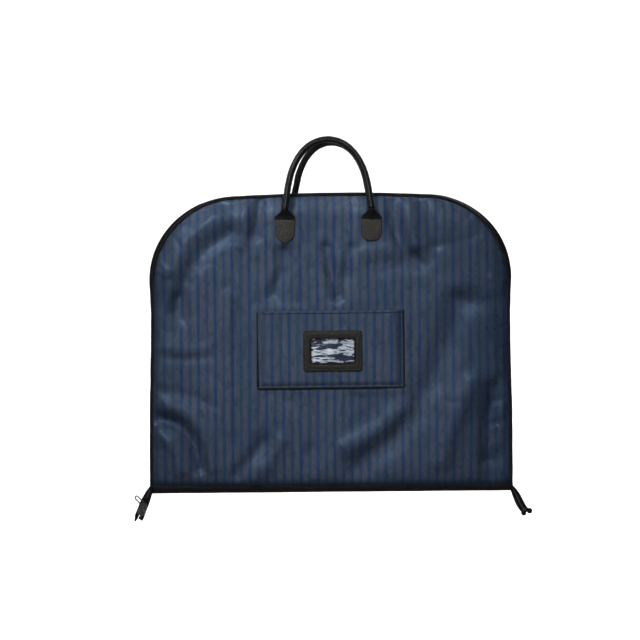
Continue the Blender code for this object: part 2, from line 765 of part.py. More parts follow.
def main():
    clear_scene()
    fold = make_joint("fold_axis", (0.0, 0.0, FOLD_Z))
    front_pivot = (FRONT_HANDLE_X, -HANDLE_PIVOT_DEPTH, HANDLE_PIVOT_Z)
    rear_pivot = (REAR_HANDLE_X, HANDLE_PIVOT_DEPTH, HANDLE_PIVOT_Z)
    front_swing = make_joint("front_handle_axis", front_pivot, fold)
    rear_swing = make_joint("rear_handle_axis", rear_pivot)
    left_sway = make_joint("left_tail_axis", LEFT_TAIL_PIVOT)
    right_sway = make_joint("right_tail_axis", RIGHT_TAIL_PIVOT)
    slider_path = make_joint("slider_axis", (SLIDER_X, 0.0, SLIDER_Z), left_sway)
    pull_swing = make_joint("pull_axis", pull_pivot(), slider_path)
    buckle_path = make_joint("buckle_axis", (TONGUE_SPAN[0], STRAP_DEPTH, STRAP_Z))
    flap_swing = make_joint("flap_axis", (0.0, *FLAP_ROUTE[0]))

    build_half("back", BACK, None)
    build_half("front", FRONT, fold)
    build_fold_spine()
    build_patches("front", FRONT, FRONT_HANDLE_X, fold)
    build_patches("rear", BACK, REAR_HANDLE_X, None)
    build_handle("front", FRONT, FRONT_HANDLE_X, 1.0, 0.0, front_swing)
    build_handle("rear", BACK, REAR_HANDLE_X, REAR_ARCH_SQUEEZE, REAR_ARCH_DROP, rear_swing)
    build_name_window(build_pocket(fold), fold)
    build_left_tail(left_sway)
    build_right_tail(right_sway)
    build_slider(slider_path)
    build_pull(pull_swing)
    build_garment_strap(buckle_path)
    build_hanger_loop(flap_swing)


main()
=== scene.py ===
"""Looks of a book-style garment bag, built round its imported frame.

Metres, in the frame's own axes: +X to the right in the front view, -Y to the
front, +Z up, and the origin at the carry grip.
"""

import math

import bmesh
import bpy
import numpy as np
from mathutils import Matrix, Vector
from mathutils.geometry import delaunay_2d_cdt


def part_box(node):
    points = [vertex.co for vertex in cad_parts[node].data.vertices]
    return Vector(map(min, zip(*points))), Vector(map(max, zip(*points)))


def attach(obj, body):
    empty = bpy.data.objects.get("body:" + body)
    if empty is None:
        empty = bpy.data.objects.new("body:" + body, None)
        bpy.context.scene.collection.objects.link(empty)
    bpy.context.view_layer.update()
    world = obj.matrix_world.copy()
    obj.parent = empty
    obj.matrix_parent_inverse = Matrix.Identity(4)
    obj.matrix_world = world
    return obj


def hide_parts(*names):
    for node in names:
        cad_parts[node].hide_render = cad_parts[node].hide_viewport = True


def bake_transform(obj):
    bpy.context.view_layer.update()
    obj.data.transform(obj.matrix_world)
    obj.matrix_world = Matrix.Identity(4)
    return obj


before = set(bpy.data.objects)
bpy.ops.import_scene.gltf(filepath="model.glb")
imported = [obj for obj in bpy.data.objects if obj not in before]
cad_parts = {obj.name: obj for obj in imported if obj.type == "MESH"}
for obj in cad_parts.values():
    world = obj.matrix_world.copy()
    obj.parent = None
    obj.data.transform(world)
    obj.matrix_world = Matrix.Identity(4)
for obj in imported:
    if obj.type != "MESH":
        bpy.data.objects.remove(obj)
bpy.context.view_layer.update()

# ---------------------------------------------------------------- sizes, from the frame where it states them
MM = 0.001
GAP = 0.0003
FRONT = -1  # side of the bag's middle plane
BACK = 1
WORD = {FRONT: "front", BACK: "back"}
BACKWARD = np.array([0.0, 1.0, 0.0])
FORWARD = -BACKWARD

TEETH_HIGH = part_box("front_zip_teeth")[1]
PANEL_LOW, PANEL_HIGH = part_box("front_panel")
HALF_WIDTH = TEETH_HIGH.x + 0.0002
TOP_Z = TEETH_HIGH.z + 0.0002
FOOT_Z = PANEL_LOW.z
FACE_DEPTH = -PANEL_LOW.y
EDGE_INSET = HALF_WIDTH - PANEL_HIGH.x
FOLD_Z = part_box("fold_spine")[0].z
CORNER_RADIUS = 0.145
TOP_CROWN = 0.004
CORNER_X = HALF_WIDTH - CORNER_RADIUS
CORNER_Z = TOP_Z - TOP_CROWN - CORNER_RADIUS
SIDE_LENGTH = CORNER_Z - FOOT_Z
ARC_LENGTH = CORNER_RADIUS * math.pi / 2
EDGE_LENGTH = 2 * (SIDE_LENGTH + ARC_LENGTH + CORNER_X)
EDGE_STEP = 0.0035  # between the rings swept along the edge
BELOW_FOOT = 0.0072  # how far the edge binding runs on down beside the fold

EDGE_DEPTH = 0.0095  # of the cloth where it meets the piping
RIM_REACH = 0.0368  # from the cloth's edge to where its face is full depth
FOOT_REACH = 0.040  # the same from the foot upwards
RIM_POWER = 2.2
CLOTH_TUCK = 0.0016  # how far the cloth runs in under the piping
CLOTH_WALL = 0.0012
CLOTH_STEP = 0.0030
LINING_STEP = 0.0050
LINING_DEPTH = 0.0020  # from the cloth's face to the lining's
PIPING_INSET = 0.0028
PIPING_DEPTH = 0.0096
PIPING_RADIUS = np.array([0.0026, 0.0023])  # sideways and deep
CORNER_BULGE = 0.0054  # how far the zip bows out past the piping at the upper corners
TOOTH_PITCH = 0.0030
TOOTHLESS = 0.013  # stretch of the zip next to the fold
FOLD_SAG = 0.0026  # how far the fold hangs below its hinge line
FOLD_LEAN = 0.0040  # rise of the fold towards the right, for each metre across
FOLD_ROWS = 29
SIDE_TAPER = 0.0110  # share by which the bag narrows towards its top
TOP_LEAN = 0.0070  # rise of the top edge towards the right, for each metre across

FRONT_HANDLE_X = -0.003
REAR_HANDLE_X = 0.0015
PATCH_REACH = 0.0710  # of a patch's middle from its handle's
STRAP_Z = -0.330

STRIPE_PITCH = 0.028
STRONG_STRIPE_AT = 0.0062
WEAK_STRIPE_AT = 0.0202
POCKET_STRIPE_SHIFT = 0.0095


# ---------------------------------------------------------------- lines and meshes
def unit(vector):
    return vector / np.linalg.norm(vector)


def catmull_rom(points, steps):
    """A smooth curve through the points."""
    points = [np.array(p, float) for p in points]
    ends = [2 * points[0] - points[1], *points, 2 * points[-1] - points[-2]]
    curve = []
    for a, b, c, d in zip(ends, ends[1:], ends[2:], ends[3:]):
        for t in np.arange(steps) / steps:
            bend = (2 * a - 5 * b + 4 * c - d) * t**2 + (3 * b - a - 3 * c + d) * t**3
            curve.append(0.5 * (2 * b + (c - a) * t + bend))
    return np.array([*curve, points[-1]])


def run_along(line):
    """Length of the line up to each of its points."""
    return np.concatenate([[0.0], np.cumsum(np.linalg.norm(np.diff(line, axis=0), axis=1))])


def respaced(line, step):
    """The same line with points about step apart."""
    line = np.array(line, float)
    run = run_along(line)
    places = np.linspace(0, run[-1], max(2, round(run[-1] / step) + 1))
    return np.stack([np.interp(places, run, column) for column in line.T], axis=1)


def tangents(line):
    along = np.gradient(line, axis=0)
    return along / np.linalg.norm(along, axis=1, keepdims=True)


def section_ring(middle, side, depth, half_side, half_depth, count, power=2.0, lift=None):
    """An oval ring; power above 2 squares it off, and lift adds a height for each angle."""
    ring = []
    for k in range(count):
        angle = 2 * math.pi * k / count
        u, v = (math.copysign(abs(c) ** (2 / power), c) for c in (math.cos(angle), math.sin(angle)))
        extra = lift(angle) if lift else 0.0
        ring.append(middle + side * (u * (half_side + extra)) + depth * (v * (half_depth + extra)))
    return ring


def swept(line, halves, depth=BACKWARD, count=16, power=2.0, closed=False):
    """Oval rings along a line that is square to the depth axis; halves are (sideways, deep) for each ring."""
    along = np.roll(line, -1, axis=0) - np.roll(line, 1, axis=0) if closed else np.gradient(line, axis=0)
    rings = []
    for middle, t, half in zip(line, along, np.broadcast_to(halves, (len(line), 2))):
        across = unit(np.cross(t, depth))
        rings.append(section_ring(middle, across, unit(np.cross(across, t)), *half, count, power))
    return rings


def grid_faces(rows, columns, first=0, wrap=False, close=False):
    """Quads between rows of points; wrap joins a row's ends, close joins the last row to the first."""
    faces = []
    for i in range(rows if close else rows - 1):
        for j in range(columns if wrap else columns - 1):
            a = first + i * columns
            c = first + (i + 1) % rows * columns
            k = (j + 1) % columns
            faces.append((a + j, a + k, c + k, c + j))
    return faces


def make_piece(name, points, faces, material, smooth=True, outward=False):
    """A mesh object; outward turns the faces of a closed shape to point out."""
    mesh = bpy.data.meshes.new(name)
    mesh.from_pydata([tuple(p) for p in points], [], faces)
    if outward:
        bm = bmesh.new()
        bm.from_mesh(mesh)
        bmesh.ops.recalc_face_normals(bm, faces=bm.faces)
        bm.to_mesh(mesh)
        bm.free()
    mesh.polygons.foreach_set("use_smooth", [smooth] * len(mesh.polygons))
    mesh.materials.append(material)
    item = bpy.data.objects.new(name, mesh)
    bpy.context.scene.collection.objects.link(item)
    return item


def thicken(item, wall, offset=-1.0):
    solid = item.modifiers.new("wall", "SOLIDIFY")
    solid.thickness = wall
    solid.offset = offset


def settle(item, body, slot, *nodes):
    """Fixes a piece to its body, in place of the CAD nodes that it stands for."""
    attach(item, body)
    if nodes:
        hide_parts(*nodes)
    return item


STITCH_SPANS = (  # places along a stitch, its rise there and the share of its thickness
    (-0.5, -1.0, 0.35), (-0.36, 0.35, 0.9), (0.0, 1.0, 1.0), (0.36, 0.35, 0.9), (0.5, -1.0, 0.35),
)


class Shape:
    """Collects closed lofts that become one piece."""

    def __init__(self):
        self.points = []
        self.faces = []

    def loft(self, rings, close=False):
        first = len(self.points)
        columns = len(rings[0])
        for ring in rings:
            self.points.extend(ring)
        self.faces.extend(grid_faces(len(rings), columns, first, wrap=True, close=close))
        if not close:
            self.faces.append(tuple(range(first, first + columns)))
            last = len(self.points) - 1
            self.faces.append(tuple(range(last, last - columns, -1)))
        return self

    def stitch(self, line, ups, pitch, length, radius, sink=0.0002):
        """Short threads laid along a line, each diving into the surface at both ends."""
        line = np.array(line, float)
        ups = np.broadcast_to(ups, line.shape)
        run = run_along(line)
        total = run[-1]
        near = 0.0005  # the stretch to both sides that gives a thread's direction

        def at(place, values):
            return np.array([np.interp(place, run, column) for column in values.T])

        count = int(total / pitch)
        for i in range(count):
            rings = []
            for share, rise, scale in STITCH_SPANS:
                place = min(max((i + 0.5) * total / count + share * length, 0.0), total)
                up = unit(at(place, ups))
                along = unit(at(min(place + near, total), line) - at(max(place - near, 0.0), line))
                centre = at(place, line) + up * (rise * sink)
                rings.append(section_ring(centre, np.cross(along, up), up, radius * scale, radius * scale, 6))
            self.loft(rings)
        return self

    def move(self, matrix):
        self.points = [np.array(matrix @ Vector(p)) for p in self.points]
        return self

    def piece(self, name, material, smooth=True):
        return make_piece(name, self.points, self.faces, material, smooth, outward=True)


# ---------------------------------------------------------------- smooth random fields
def lattice(i, j, seed):
    value = np.sin(i * 127.1 + j * 311.7 + seed * 74.7) * 43758.5453
    return value - np.floor(value)


def noise(u, v, seed):
    """Smooth noise from -1 to 1 with features one unit apart."""
    i, j = np.floor(u), np.floor(v)
    f, g = ((t**3 * (t * (6 * t - 15) + 10)) for t in (u - i, v - j))
    low = lattice(i, j, seed) * (1 - f) + lattice(i + 1, j, seed) * f
    high = lattice(i, j + 1, seed) * (1 - f) + lattice(i + 1, j + 1, seed) * f
    return 2 * (low * (1 - g) + high * g) - 1


def smoothstep(low, high, value):
    t = np.clip((value - low) / (high - low), 0.0, 1.0)
    return t * t * (3 - 2 * t)


def bump(offset, width):
    """1 on the spot, falling off to both sides."""
    return np.exp(-((offset / width) ** 2))


# ---------------------------------------------------------------- the bag's outline and its cloth surface
def hung(points):
    """Where points of the flat pattern lie once the bag hangs: drawn in upwards, its top a little askew."""
    points = np.array(points, float)
    x, z = points[..., 0], points[..., 2]
    share = smoothstep(-0.50, -0.25, z)
    points[..., 2] = z + TOP_LEAN * x * smoothstep(-0.32, -0.14, z)
    points[..., 0] = x * (1 - SIDE_TAPER * share)
    return points


def edge_frame(run, inset=0.0):
    """Points and outward normals of the outline at each run along it from the left foot."""
    left = np.where(run > EDGE_LENGTH / 2, -1.0, 1.0)
    s = np.minimum(run, EDGE_LENGTH - run)
    angle = np.clip((s - SIDE_LENGTH) / CORNER_RADIUS, 0, math.pi / 2)
    nx, nz = -np.cos(angle), np.sin(angle)
    x = CORNER_RADIUS * nx - CORNER_X + np.clip(s - SIDE_LENGTH - ARC_LENGTH, 0, None)
    z = CORNER_RADIUS * nz + CORNER_Z + np.clip(s - SIDE_LENGTH, None, 0)
    z = z + TOP_CROWN * np.clip(1 - (x / CORNER_X) ** 2, 0, None)
    normals = np.stack([left * nx, 0 * nx, nz], axis=-1)
    return np.stack([left * x, 0 * x, z], axis=-1) - inset * normals, normals


def edge_place(x, z):
    """(inset from the outline, run along it) of each point."""
    ax = np.abs(x)
    angle = np.arctan2(z - CORNER_Z, ax - CORNER_X)
    corner = (ax > CORNER_X) & (z > CORNER_Z)
    top = TOP_Z - TOP_CROWN * (x / CORNER_X) ** 2 - z
    side = HALF_WIDTH - ax
    inset = np.where(corner, CORNER_RADIUS - np.hypot(ax - CORNER_X, z - CORNER_Z), np.minimum(top, side))
    run = np.where(corner, SIDE_LENGTH + CORNER_RADIUS * angle, z - FOOT_Z)
    run = np.where(~corner & (top < side), SIDE_LENGTH + ARC_LENGTH + CORNER_X - ax, run)
    return inset, np.where(x > 0, EDGE_LENGTH - run, run)


FOLD_STRENGTH = {FRONT: 2.9, BACK: 1.8}
# Folds in mm: height (negative for a valley), half-width, and the (x, z) points of the line each follows.
FRONT_FOLDS = (
    (-3.4, 10, (-118, -92), (-120, -118), (-124, -148)),
    (1.6, 10, (-140, -92), (-143, -125), (-150, -165)),
    (-3.0, 12, (104, -94), (108, -130), (122, -170), (150, -198)),
    (2.6, 11, (132, -98), (134, -130), (138, -168)),
    (-2.0, 12, (158, -100), (166, -135), (176, -165)),
    (-2.6, 9.5, (-6, -170), (2, -210), (10, -252)),
    (-2.4, 10.5, (-76, -168), (-80, -205), (-94, -246)),
    (-1.8, 9, (35, -172), (28, -205), (18, -246)),
    (0.8, 16, (20, -192), (40, -186), (60, -176)),
    (0.7, 15, (62, -182), (110, -176), (160, -168)),
    (-1.3, 17, (70, -200), (120, -198), (166, -186)),
    (1.6, 14, (-262, -205), (-235, -155), (-190, -120)),
    (-2.4, 12, (-250, -285), (-246, -235), (-215, -180), (-165, -142)),
    (-2.6, 11, (-262, -275), (-254, -250)),
    (-0.8, 7.5, (-285, -348), (-240, -353), (-200, -350)),
    (0.7, 9, (-285, -334), (-240, -337), (-205, -334)),
    (-0.9, 8.5, (-285, -402), (-240, -412), (-192, -430)),
    (2.0, 11, (-286, -424), (-238, -442), (-205, -482), (-196, -530)),
    (-4.6, 11, (-287, -450), (-250, -463), (-226, -495), (-216, -532)),
    (2.6, 11, (-285, -478), (-262, -497), (-246, -535)),
    (-2.6, 12, (-158, -545), (-135, -520), (-112, -490)),
    (2.0, 13, (-125, -550), (-100, -520), (-82, -490)),
    (0.6, 14, (205, -232), (245, -236), (284, -230)),
    (-1.0, 14, (205, -256), (245, -262), (287, -258)),
    (-3.6, 24, (220, -262), (190, -340), (150, -420), (108, -480), (46, -532)),
    (3.0, 17, (120, -435), (80, -470), (26, -500)),
    (3.4, 18, (232, -395), (205, -450), (180, -520)),
    (-4.2, 14, (272, -402), (262, -450), (256, -520)),
    (-3.0, 16, (276, -515), (262, -545)),
    (1.4, 5.5, (-292, -186), (-274, -204)),
    (1.4, 5, (-290, -204), (-276, -214)),
    (1.4, 5.5, (290, -232), (268, -222)),
    (1.0, 5, (-130, -89), (-108, -87.2), (-84, -86)),
    (1.0, 5, (69, -86), (88, -86.8), (107, -88)),
    (-1.0, 7, (289, -420), (270, -425)),
    (-1.0, 7, (289, -455), (268, -462)),
    (1.2, 11, (-170, -250), (-172, -380), (-168, -470)),
    (-1.2, 12, (-30, -420), (-28, -480), (-36, -530)),
)
BACK_FOLDS = (
    (-3.0, 9, (-110, -94), (-114, -150)),
    (-3.0, 9, (112, -94), (118, -152)),
    (2.4, 12, (140, -100), (150, -170)),
    (-3.4, 20, (-235, -230), (-190, -330), (-120, -420), (-40, -500)),
    (2.8, 17, (-190, -240), (-140, -340), (-70, -430)),
    (-2.6, 12, (10, -150), (0, -220), (12, -290)),
    (-4.0, 12, (286, -440), (245, -462), (222, -530)),
    (2.6, 12, (286, -415), (225, -440), (196, -520)),
    (-3.0, 15, (200, -240), (150, -290), (90, -320)),
    (2.4, 14, (-262, -420), (-235, -470), (-230, -530)),
    (-2.2, 8, (-285, -350), (-220, -358)),
)
POCKET_LOW, POCKET_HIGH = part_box("card_pocket")
SEWN_PATCHES = [(FRONT_HANDLE_X + sign * PATCH_REACH, -0.137, 0.017, 0.023) for sign in (-1, 1)]
POCKET_AREA = (0.0, (POCKET_LOW.z + POCKET_HIGH.z) / 2, POCKET_HIGH.x, (POCKET_HIGH.z - POCKET_LOW.z) / 2)
SEWN_ON = {  # areas of the cloth held flat: middle x and z, half-width and half-height
    FRONT: [*SEWN_PATCHES, POCKET_AREA],
    BACK: [*SEWN_PATCHES, (0.0, -0.147, 0.016, 0.034), (0.004, STRAP_Z, 0.038, 0.020)],
}


def distance_to_line(x, z, line):
    """Distance of each point to a polyline."""
    nearest = np.full(len(x), 1e9)
    for (ax, az), (bx, bz) in zip(line, line[1:]):
        dx, dz = bx - ax, bz - az
        t = np.clip(((x - ax) * dx + (z - az) * dz) / (dx * dx + dz * dz), 0, 1)
        nearest = np.minimum(nearest, np.hypot(x - ax - t * dx, z - az - t * dz))
    return nearest


def calm_share(x, z, side):
    """How far the cloth is held flat by what is sewn onto it: 1 under the pocket and the patches."""
    calm = np.zeros(len(x))
    for middle_x, middle_z, half_x, half_z in SEWN_ON[side]:
        beyond_x = np.clip(np.abs(x - middle_x) - half_x, 0, None)
        beyond_z = np.clip(np.abs(z - middle_z) - half_z, 0, None)
        calm = np.maximum(calm, 1 - smoothstep(0.003, 0.016, np.hypot(beyond_x, beyond_z)))
    return calm


def cloth_depth(x, z, side):
    """Distance of the cloth's outer face from the bag's middle plane."""
    inset, run = edge_place(x, z)
    rise = z - FOOT_Z
    near_side = np.clip(1 - (inset - EDGE_INSET) / RIM_REACH, 0, 1.2)
    near_foot = np.clip(1 - rise / FOOT_REACH, 0, 1.0)
    rim = (near_side**4 + near_foot**4) ** 0.25
    depth = FACE_DEPTH - (FACE_DEPTH - EDGE_DEPTH) * np.clip(rim, 0, 1.05) ** RIM_POWER
    inner = (1 - np.clip(rim, 0, 1) ** 3) * (1 - calm_share(x, z, side))
    seed = 5 if side == FRONT else 31
    warp = 0.012 * noise(x / 0.09, z / 0.09, seed)
    depth = depth + inner * 0.0024 * noise((x + warp) / 0.075 + 3, (z - warp) / 0.110, seed + 1)
    crease = np.abs(noise((x + 0.5 * z + warp) / 0.045, (z - 0.3 * x) / 0.090, seed + 2))
    depth = depth - inner * 0.0015 * (1 - crease) ** 3
    depth = depth + inner * 0.00080 * noise(x / 0.019 + warp * 90, z / 0.030, seed + 3)
    depth = depth + inner * 0.00030 * noise(x / 0.009, z / 0.014 + warp * 60, seed + 4)

    for height, width, *line in FRONT_FOLDS if side == FRONT else BACK_FOLDS:
        path = catmull_rom(np.array(line) * MM, 6)
        along_fold = bump(distance_to_line(x, z, path), width * MM)
        depth = depth + inner**0.5 * FOLD_STRENGTH[side] * height * MM * along_fold

    edge = np.clip(inset - EDGE_INSET, 0, None)
    pull = np.exp(-edge / 0.013) * smoothstep(0.0, 0.004, edge)
    depth = depth + 0.0014 * pull * noise(run / 0.0125, edge / 0.03, seed + 5)
    long_pull = np.exp(-edge / 0.034) * smoothstep(0.0, 0.010, edge)
    depth = depth + 0.0022 * long_pull * noise(run / 0.034, edge / 0.06, seed + 6)
    foot_pull = np.exp(-rise / 0.022) * smoothstep(0.0, 0.008, rise)
    return depth + 0.0014 * foot_pull * noise(x / 0.022, rise / 0.05, seed + 7)


def lining_face(x, z, side):
    """Distance of the lining's inner face from the bag's middle plane."""
    soft = noise(x / 0.040, z / 0.055, 17 + side) + 0.6 * noise(x / 0.018, z / 0.024, 23 + side)
    calm = 1 - 0.8 * calm_share(x, z, side)
    return cloth_depth(x, z, side) - LINING_DEPTH - 0.0005 * calm * (1.6 + soft)


def sheet_mesh(name, side, inset, foot_z, step, depth_of, material, turned=False):
    """A sheet over the tray's outline, triangulated evenly; turned faces it inwards."""
    edge, _ = edge_frame(np.linspace(0, EDGE_LENGTH, round(EDGE_LENGTH / step) + 1), inset)
    points = [(x, max(z, foot_z)) for x, _, z in edge]
    half = HALF_WIDTH - inset
    steps = round(2 * half / step)
    points += [(half - 2 * half * k / steps, foot_z) for k in range(1, steps)]
    border = list(range(len(points)))
    row_step = step * math.sqrt(3) / 2
    for r in range(1, int((TOP_Z - foot_z) / row_step)):
        z = foot_z + r * row_step
        xs = np.arange(-half, half, step) + (step / 2 if r % 2 else 0.0)
        near, _ = edge_place(xs, np.full(len(xs), z))
        points.extend((x, z) for x, d in zip(xs, near) if d > inset + 0.6 * step)
    flat, _, faces, *_ = delaunay_2d_cdt([Vector(p) for p in points], [], [border], 1, 1e-7)
    x, z = np.array([tuple(p) for p in flat]).T
    if turned == (side == FRONT):
        faces = [tuple(reversed(f)) for f in faces]
    return make_piece(name, hung(np.stack([x, side * depth_of(x, z), z], axis=1)), faces, material)


# ---------------------------------------------------------------- materials
SOCKETS = {
    "roughness": "Roughness",
    "metallic": "Metallic",
    "specular": "Specular IOR Level",
    "sheen": "Sheen Weight",
    "coat": "Coat Weight",
    "coat_roughness": "Coat Roughness",
}


class Paint:
    """Builds one material from nodes: a colour laid on in layers, and a height in metres."""

    def __init__(self, name, **values):
        self.material = bpy.data.materials.new(name)
        self.material.use_nodes = True
        self.tree = self.material.node_tree
        self.tree.nodes.clear()
        self.shader = self.add("ShaderNodeBsdfPrincipled")
        for key, value in values.items():
            self.shader.inputs[SOCKETS[key]].default_value = value
        self.link(self.shader.outputs[0], self.add("ShaderNodeOutputMaterial").inputs["Surface"])
        self.coords = self.add("ShaderNodeTexCoord").outputs["Object"]
        self.colour = None
        self.height = None

    def add(self, kind, **settings):
        node = self.tree.nodes.new(kind)
        for key, value in settings.items():
            setattr(node, key, value)
        return node

    def link(self, source, target):
        if hasattr(source, "node"):
            self.tree.links.new(source, target)
        else:
            target.default_value = source

    def math(self, operation, *values):
        node = self.add("ShaderNodeMath", operation=operation)
        for value, socket in zip(values, node.inputs):
            self.link(value, socket)
        return node.outputs[0]

    def stretch(self, scale):
        """The coordinates multiplied by a number or by (x, y, z)."""
        node = self.add("ShaderNodeMapping")
        self.link(self.coords, node.inputs["Vector"])
        node.inputs["Scale"].default_value = scale if isinstance(scale, tuple) else (scale, scale, scale)
        return node.outputs[0]

    def noise(self, scale, detail=3.0, roughness=0.55, distortion=0.0):
        """Noise with features about 1/scale apart along each axis."""
        node = self.add("ShaderNodeTexNoise")
        values = (self.stretch(scale), 1.0, detail, roughness, distortion)
        for value, socket in zip(values, ("Vector", "Scale", "Detail", "Roughness", "Distortion")):
            self.link(value, node.inputs[socket])
        return node.outputs["Fac"]

    def cells(self, scale):
        node = self.add("ShaderNodeTexVoronoi")
        self.link(self.stretch(scale), node.inputs["Vector"])
        node.inputs["Scale"].default_value = 1.0
        return node.outputs["Distance"]

    def axis(self, letter):
        node = self.add("ShaderNodeSeparateXYZ")
        self.link(self.coords, node.inputs[0])
        return node.outputs[letter]

    def wave(self, source, pitch):
        """A sine of 0 to 1 with the given pitch in metres."""
        angle = self.math("MULTIPLY", source, 2 * math.pi / pitch)
        return self.math("MULTIPLY_ADD", self.math("SINE", angle), 0.5, 0.5)

    def ramp(self, value, low, high, to_low=0.0, to_high=1.0):
        node = self.add("ShaderNodeMapRange", interpolation_type="SMOOTHSTEP")
        for number, socket in zip((value, low, high, to_low, to_high), node.inputs):
            self.link(number, socket)
        return node.outputs[0]

    def layer(self, share, over, under=None):
        """Lays a colour over the one so far, or over another."""
        node = self.add("ShaderNodeMix", data_type="RGBA")
        self.link(share, node.inputs["Factor"])
        for colour, socket in ((under or self.colour, node.inputs[6]), (over, node.inputs[7])):
            self.link(colour if hasattr(colour, "node") else (*colour, 1.0), socket)
        self.colour = node.outputs[2]

    def raise_by(self, source, amount):
        part = self.math("MULTIPLY", source, amount)
        self.height = self.math("ADD", self.height, part) if self.height else part

    def finish(self, roughness=None):
        self.link(self.colour, self.shader.inputs["Base Color"])
        if roughness:
            self.link(roughness, self.shader.inputs["Roughness"])
        if self.height:
            relief = self.add("ShaderNodeBump")
            relief.inputs["Strength"].default_value = 1.0
            relief.inputs["Distance"].default_value = 1.0
            self.link(self.height, relief.inputs["Height"])
            self.link(relief.outputs[0], self.shader.inputs["Normal"])
        return self.material


def striped_satin(name, shift, middle, edge, shade, polished):
    """Slate satin with a strong and a weak blue stripe in each repeat, and fine satin lines between them.

    It takes painted shade over the edge, a span of distances from the middle, darker by the shade there, and
    shines there if polished. It also takes painted shade in the hollows of its crinkle and over the last 16
    mm above its foot, where the cloth turns under.
    """
    p = Paint(name, specular=0.24)
    p.shader.inputs["Specular Tint"].default_value = (0.42, 0.66, 1.0, 1.0)
    x, z = p.axis("X"), p.axis("Z")
    away = p.math("ABSOLUTE", p.math("SUBTRACT", x, middle))
    across = p.math("ADD", x, p.math("MULTIPLY_ADD", p.noise((2.0, 2.0, 9.0), 1.0), 0.0018, -0.0009))

    def stripe(at, half_width, soft):
        off = p.math("PINGPONG", p.math("SUBTRACT", across, at + shift), STRIPE_PITCH / 2)
        return p.ramp(off, half_width - soft, half_width + soft, 1.0, 0.0)

    strong = stripe(STRONG_STRIPE_AT, 0.0026, 0.0017)
    weak = stripe(WEAK_STRIPE_AT, 0.0026, 0.0019)
    hair = p.wave(across, STRIPE_PITCH / 16)
    slub = p.noise((620.0, 620.0, 34.0), 4.0, 0.65)
    streak = p.noise((230.0, 230.0, 7.0), 3.0, 0.6)
    cloud = p.noise(11.0, 4.0)
    crinkle = p.noise((120.0, 120.0, 75.0), 5.0, 0.62, 0.4)
    p.layer(p.ramp(slub, 0.30, 0.72), (0.059, 0.071, 0.090), (0.030, 0.039, 0.054))
    p.layer(p.ramp(streak, 0.42, 0.66, 0.0, 0.55), (0.060, 0.059, 0.066))
    p.layer(p.math("MULTIPLY", hair, 0.42), (0.022, 0.032, 0.054))
    p.layer(p.math("MULTIPLY", weak, p.ramp(streak, 0.30, 0.70, 0.90, 0.62)), (0.011, 0.030, 0.076))
    p.layer(p.math("MULTIPLY", strong, p.ramp(streak, 0.30, 0.70, 0.95, 0.72)), (0.006, 0.024, 0.090))
    p.layer(p.ramp(cloud, 0.30, 0.75, 0.0, 0.35), (0.010, 0.021, 0.050))
    # painted shade: darker in the hollows of the crinkle, where its bump is low
    p.layer(p.ramp(crinkle, 0.52, 0.30, 0.0, 0.50), (0.010, 0.016, 0.034))
    # painted shade: darker towards the sides over the span given by edge, by the shade amount, broken up by
    # the cloud noise
    painted_edge_shade = p.ramp(away, *edge, 0.0, shade)
    p.layer(p.math("MULTIPLY", painted_edge_shade, p.ramp(cloud, 0.2, 0.7, 0.6, 1.0)), (0.005, 0.011, 0.026))
    # painted shade: darker over the last 16 mm above the foot, where the cloth turns under
    p.layer(p.ramp(z, FOOT_Z + 0.0165, FOOT_Z + 0.001, 0.0, 0.93), (0.002, 0.004, 0.010))
    p.raise_by(p.wave(p.math("ADD", x, p.math("MULTIPLY", z, 1.2)), 0.0009), 0.000012)
    p.raise_by(slub, 0.000045)
    p.raise_by(crinkle, 0.00055)
    p.raise_by(p.noise((46.0, 46.0, 30.0), distortion=0.8), 0.00085)
    p.raise_by(strong, -0.00002)
    rough = p.math("ADD", p.ramp(p.noise(38.0), 0.3, 0.7, 0.38, 0.52), p.math("MULTIPLY", slub, 0.06))
    polish = p.math("MAXIMUM", p.ramp(away, 0.235, 0.295), p.ramp(z, TOP_Z - 0.030, TOP_Z - 0.006))
    polish = p.math("MULTIPLY", polish, p.ramp(p.noise(24.0, 2.0), 0.48, 0.62, 0.0, polished))
    return p.finish(p.math("MULTIPLY_ADD", polish, -0.20, rough))


def lining_satin(name):
    p = Paint(name, specular=0.4, sheen=0.08)
    p.layer(p.noise((500.0, 500.0, 60.0), 4.0), (0.026, 0.029, 0.040), (0.010, 0.012, 0.019))
    p.layer(p.ramp(p.noise(9.0), 0.3, 0.7, 0.0, 0.4), (0.008, 0.010, 0.016))
    p.raise_by(p.wave(p.math("ADD", p.axis("X"), p.axis("Z")), 0.0008), 0.000010)
    p.raise_by(p.noise((120.0, 120.0, 70.0), 5.0), 0.00035)
    return p.finish(p.ramp(p.noise(45.0), 0.3, 0.7, 0.36, 0.50))


def leather(name, dark, light, worn, roughness, specular, grain=900.0, depth=0.00012):
    """Pebbled leather, paler where it is worn."""
    p = Paint(name, specular=specular)
    pebble = p.cells(grain)
    rub = p.noise((70.0, 70.0, 45.0), 4.0, distortion=0.6)
    p.layer(p.noise(160.0, 5.0), light, dark)
    p.layer(p.ramp(pebble, 0.15, 0.75, 0.0, 0.35), dark)
    p.layer(p.ramp(rub, 0.56, 0.74, 0.0, 0.55), worn)
    p.layer(p.ramp(p.noise(430.0), 0.50, 0.68, 0.0, 0.6), worn)
    p.raise_by(pebble, -depth)
    p.raise_by(p.noise(2600.0, 2.0), depth * 0.3)
    p.raise_by(p.noise(240.0, 4.0), depth * 1.6)
    return p.finish(p.ramp(rub, 0.35, 0.75, roughness + 0.06, roughness - 0.10))


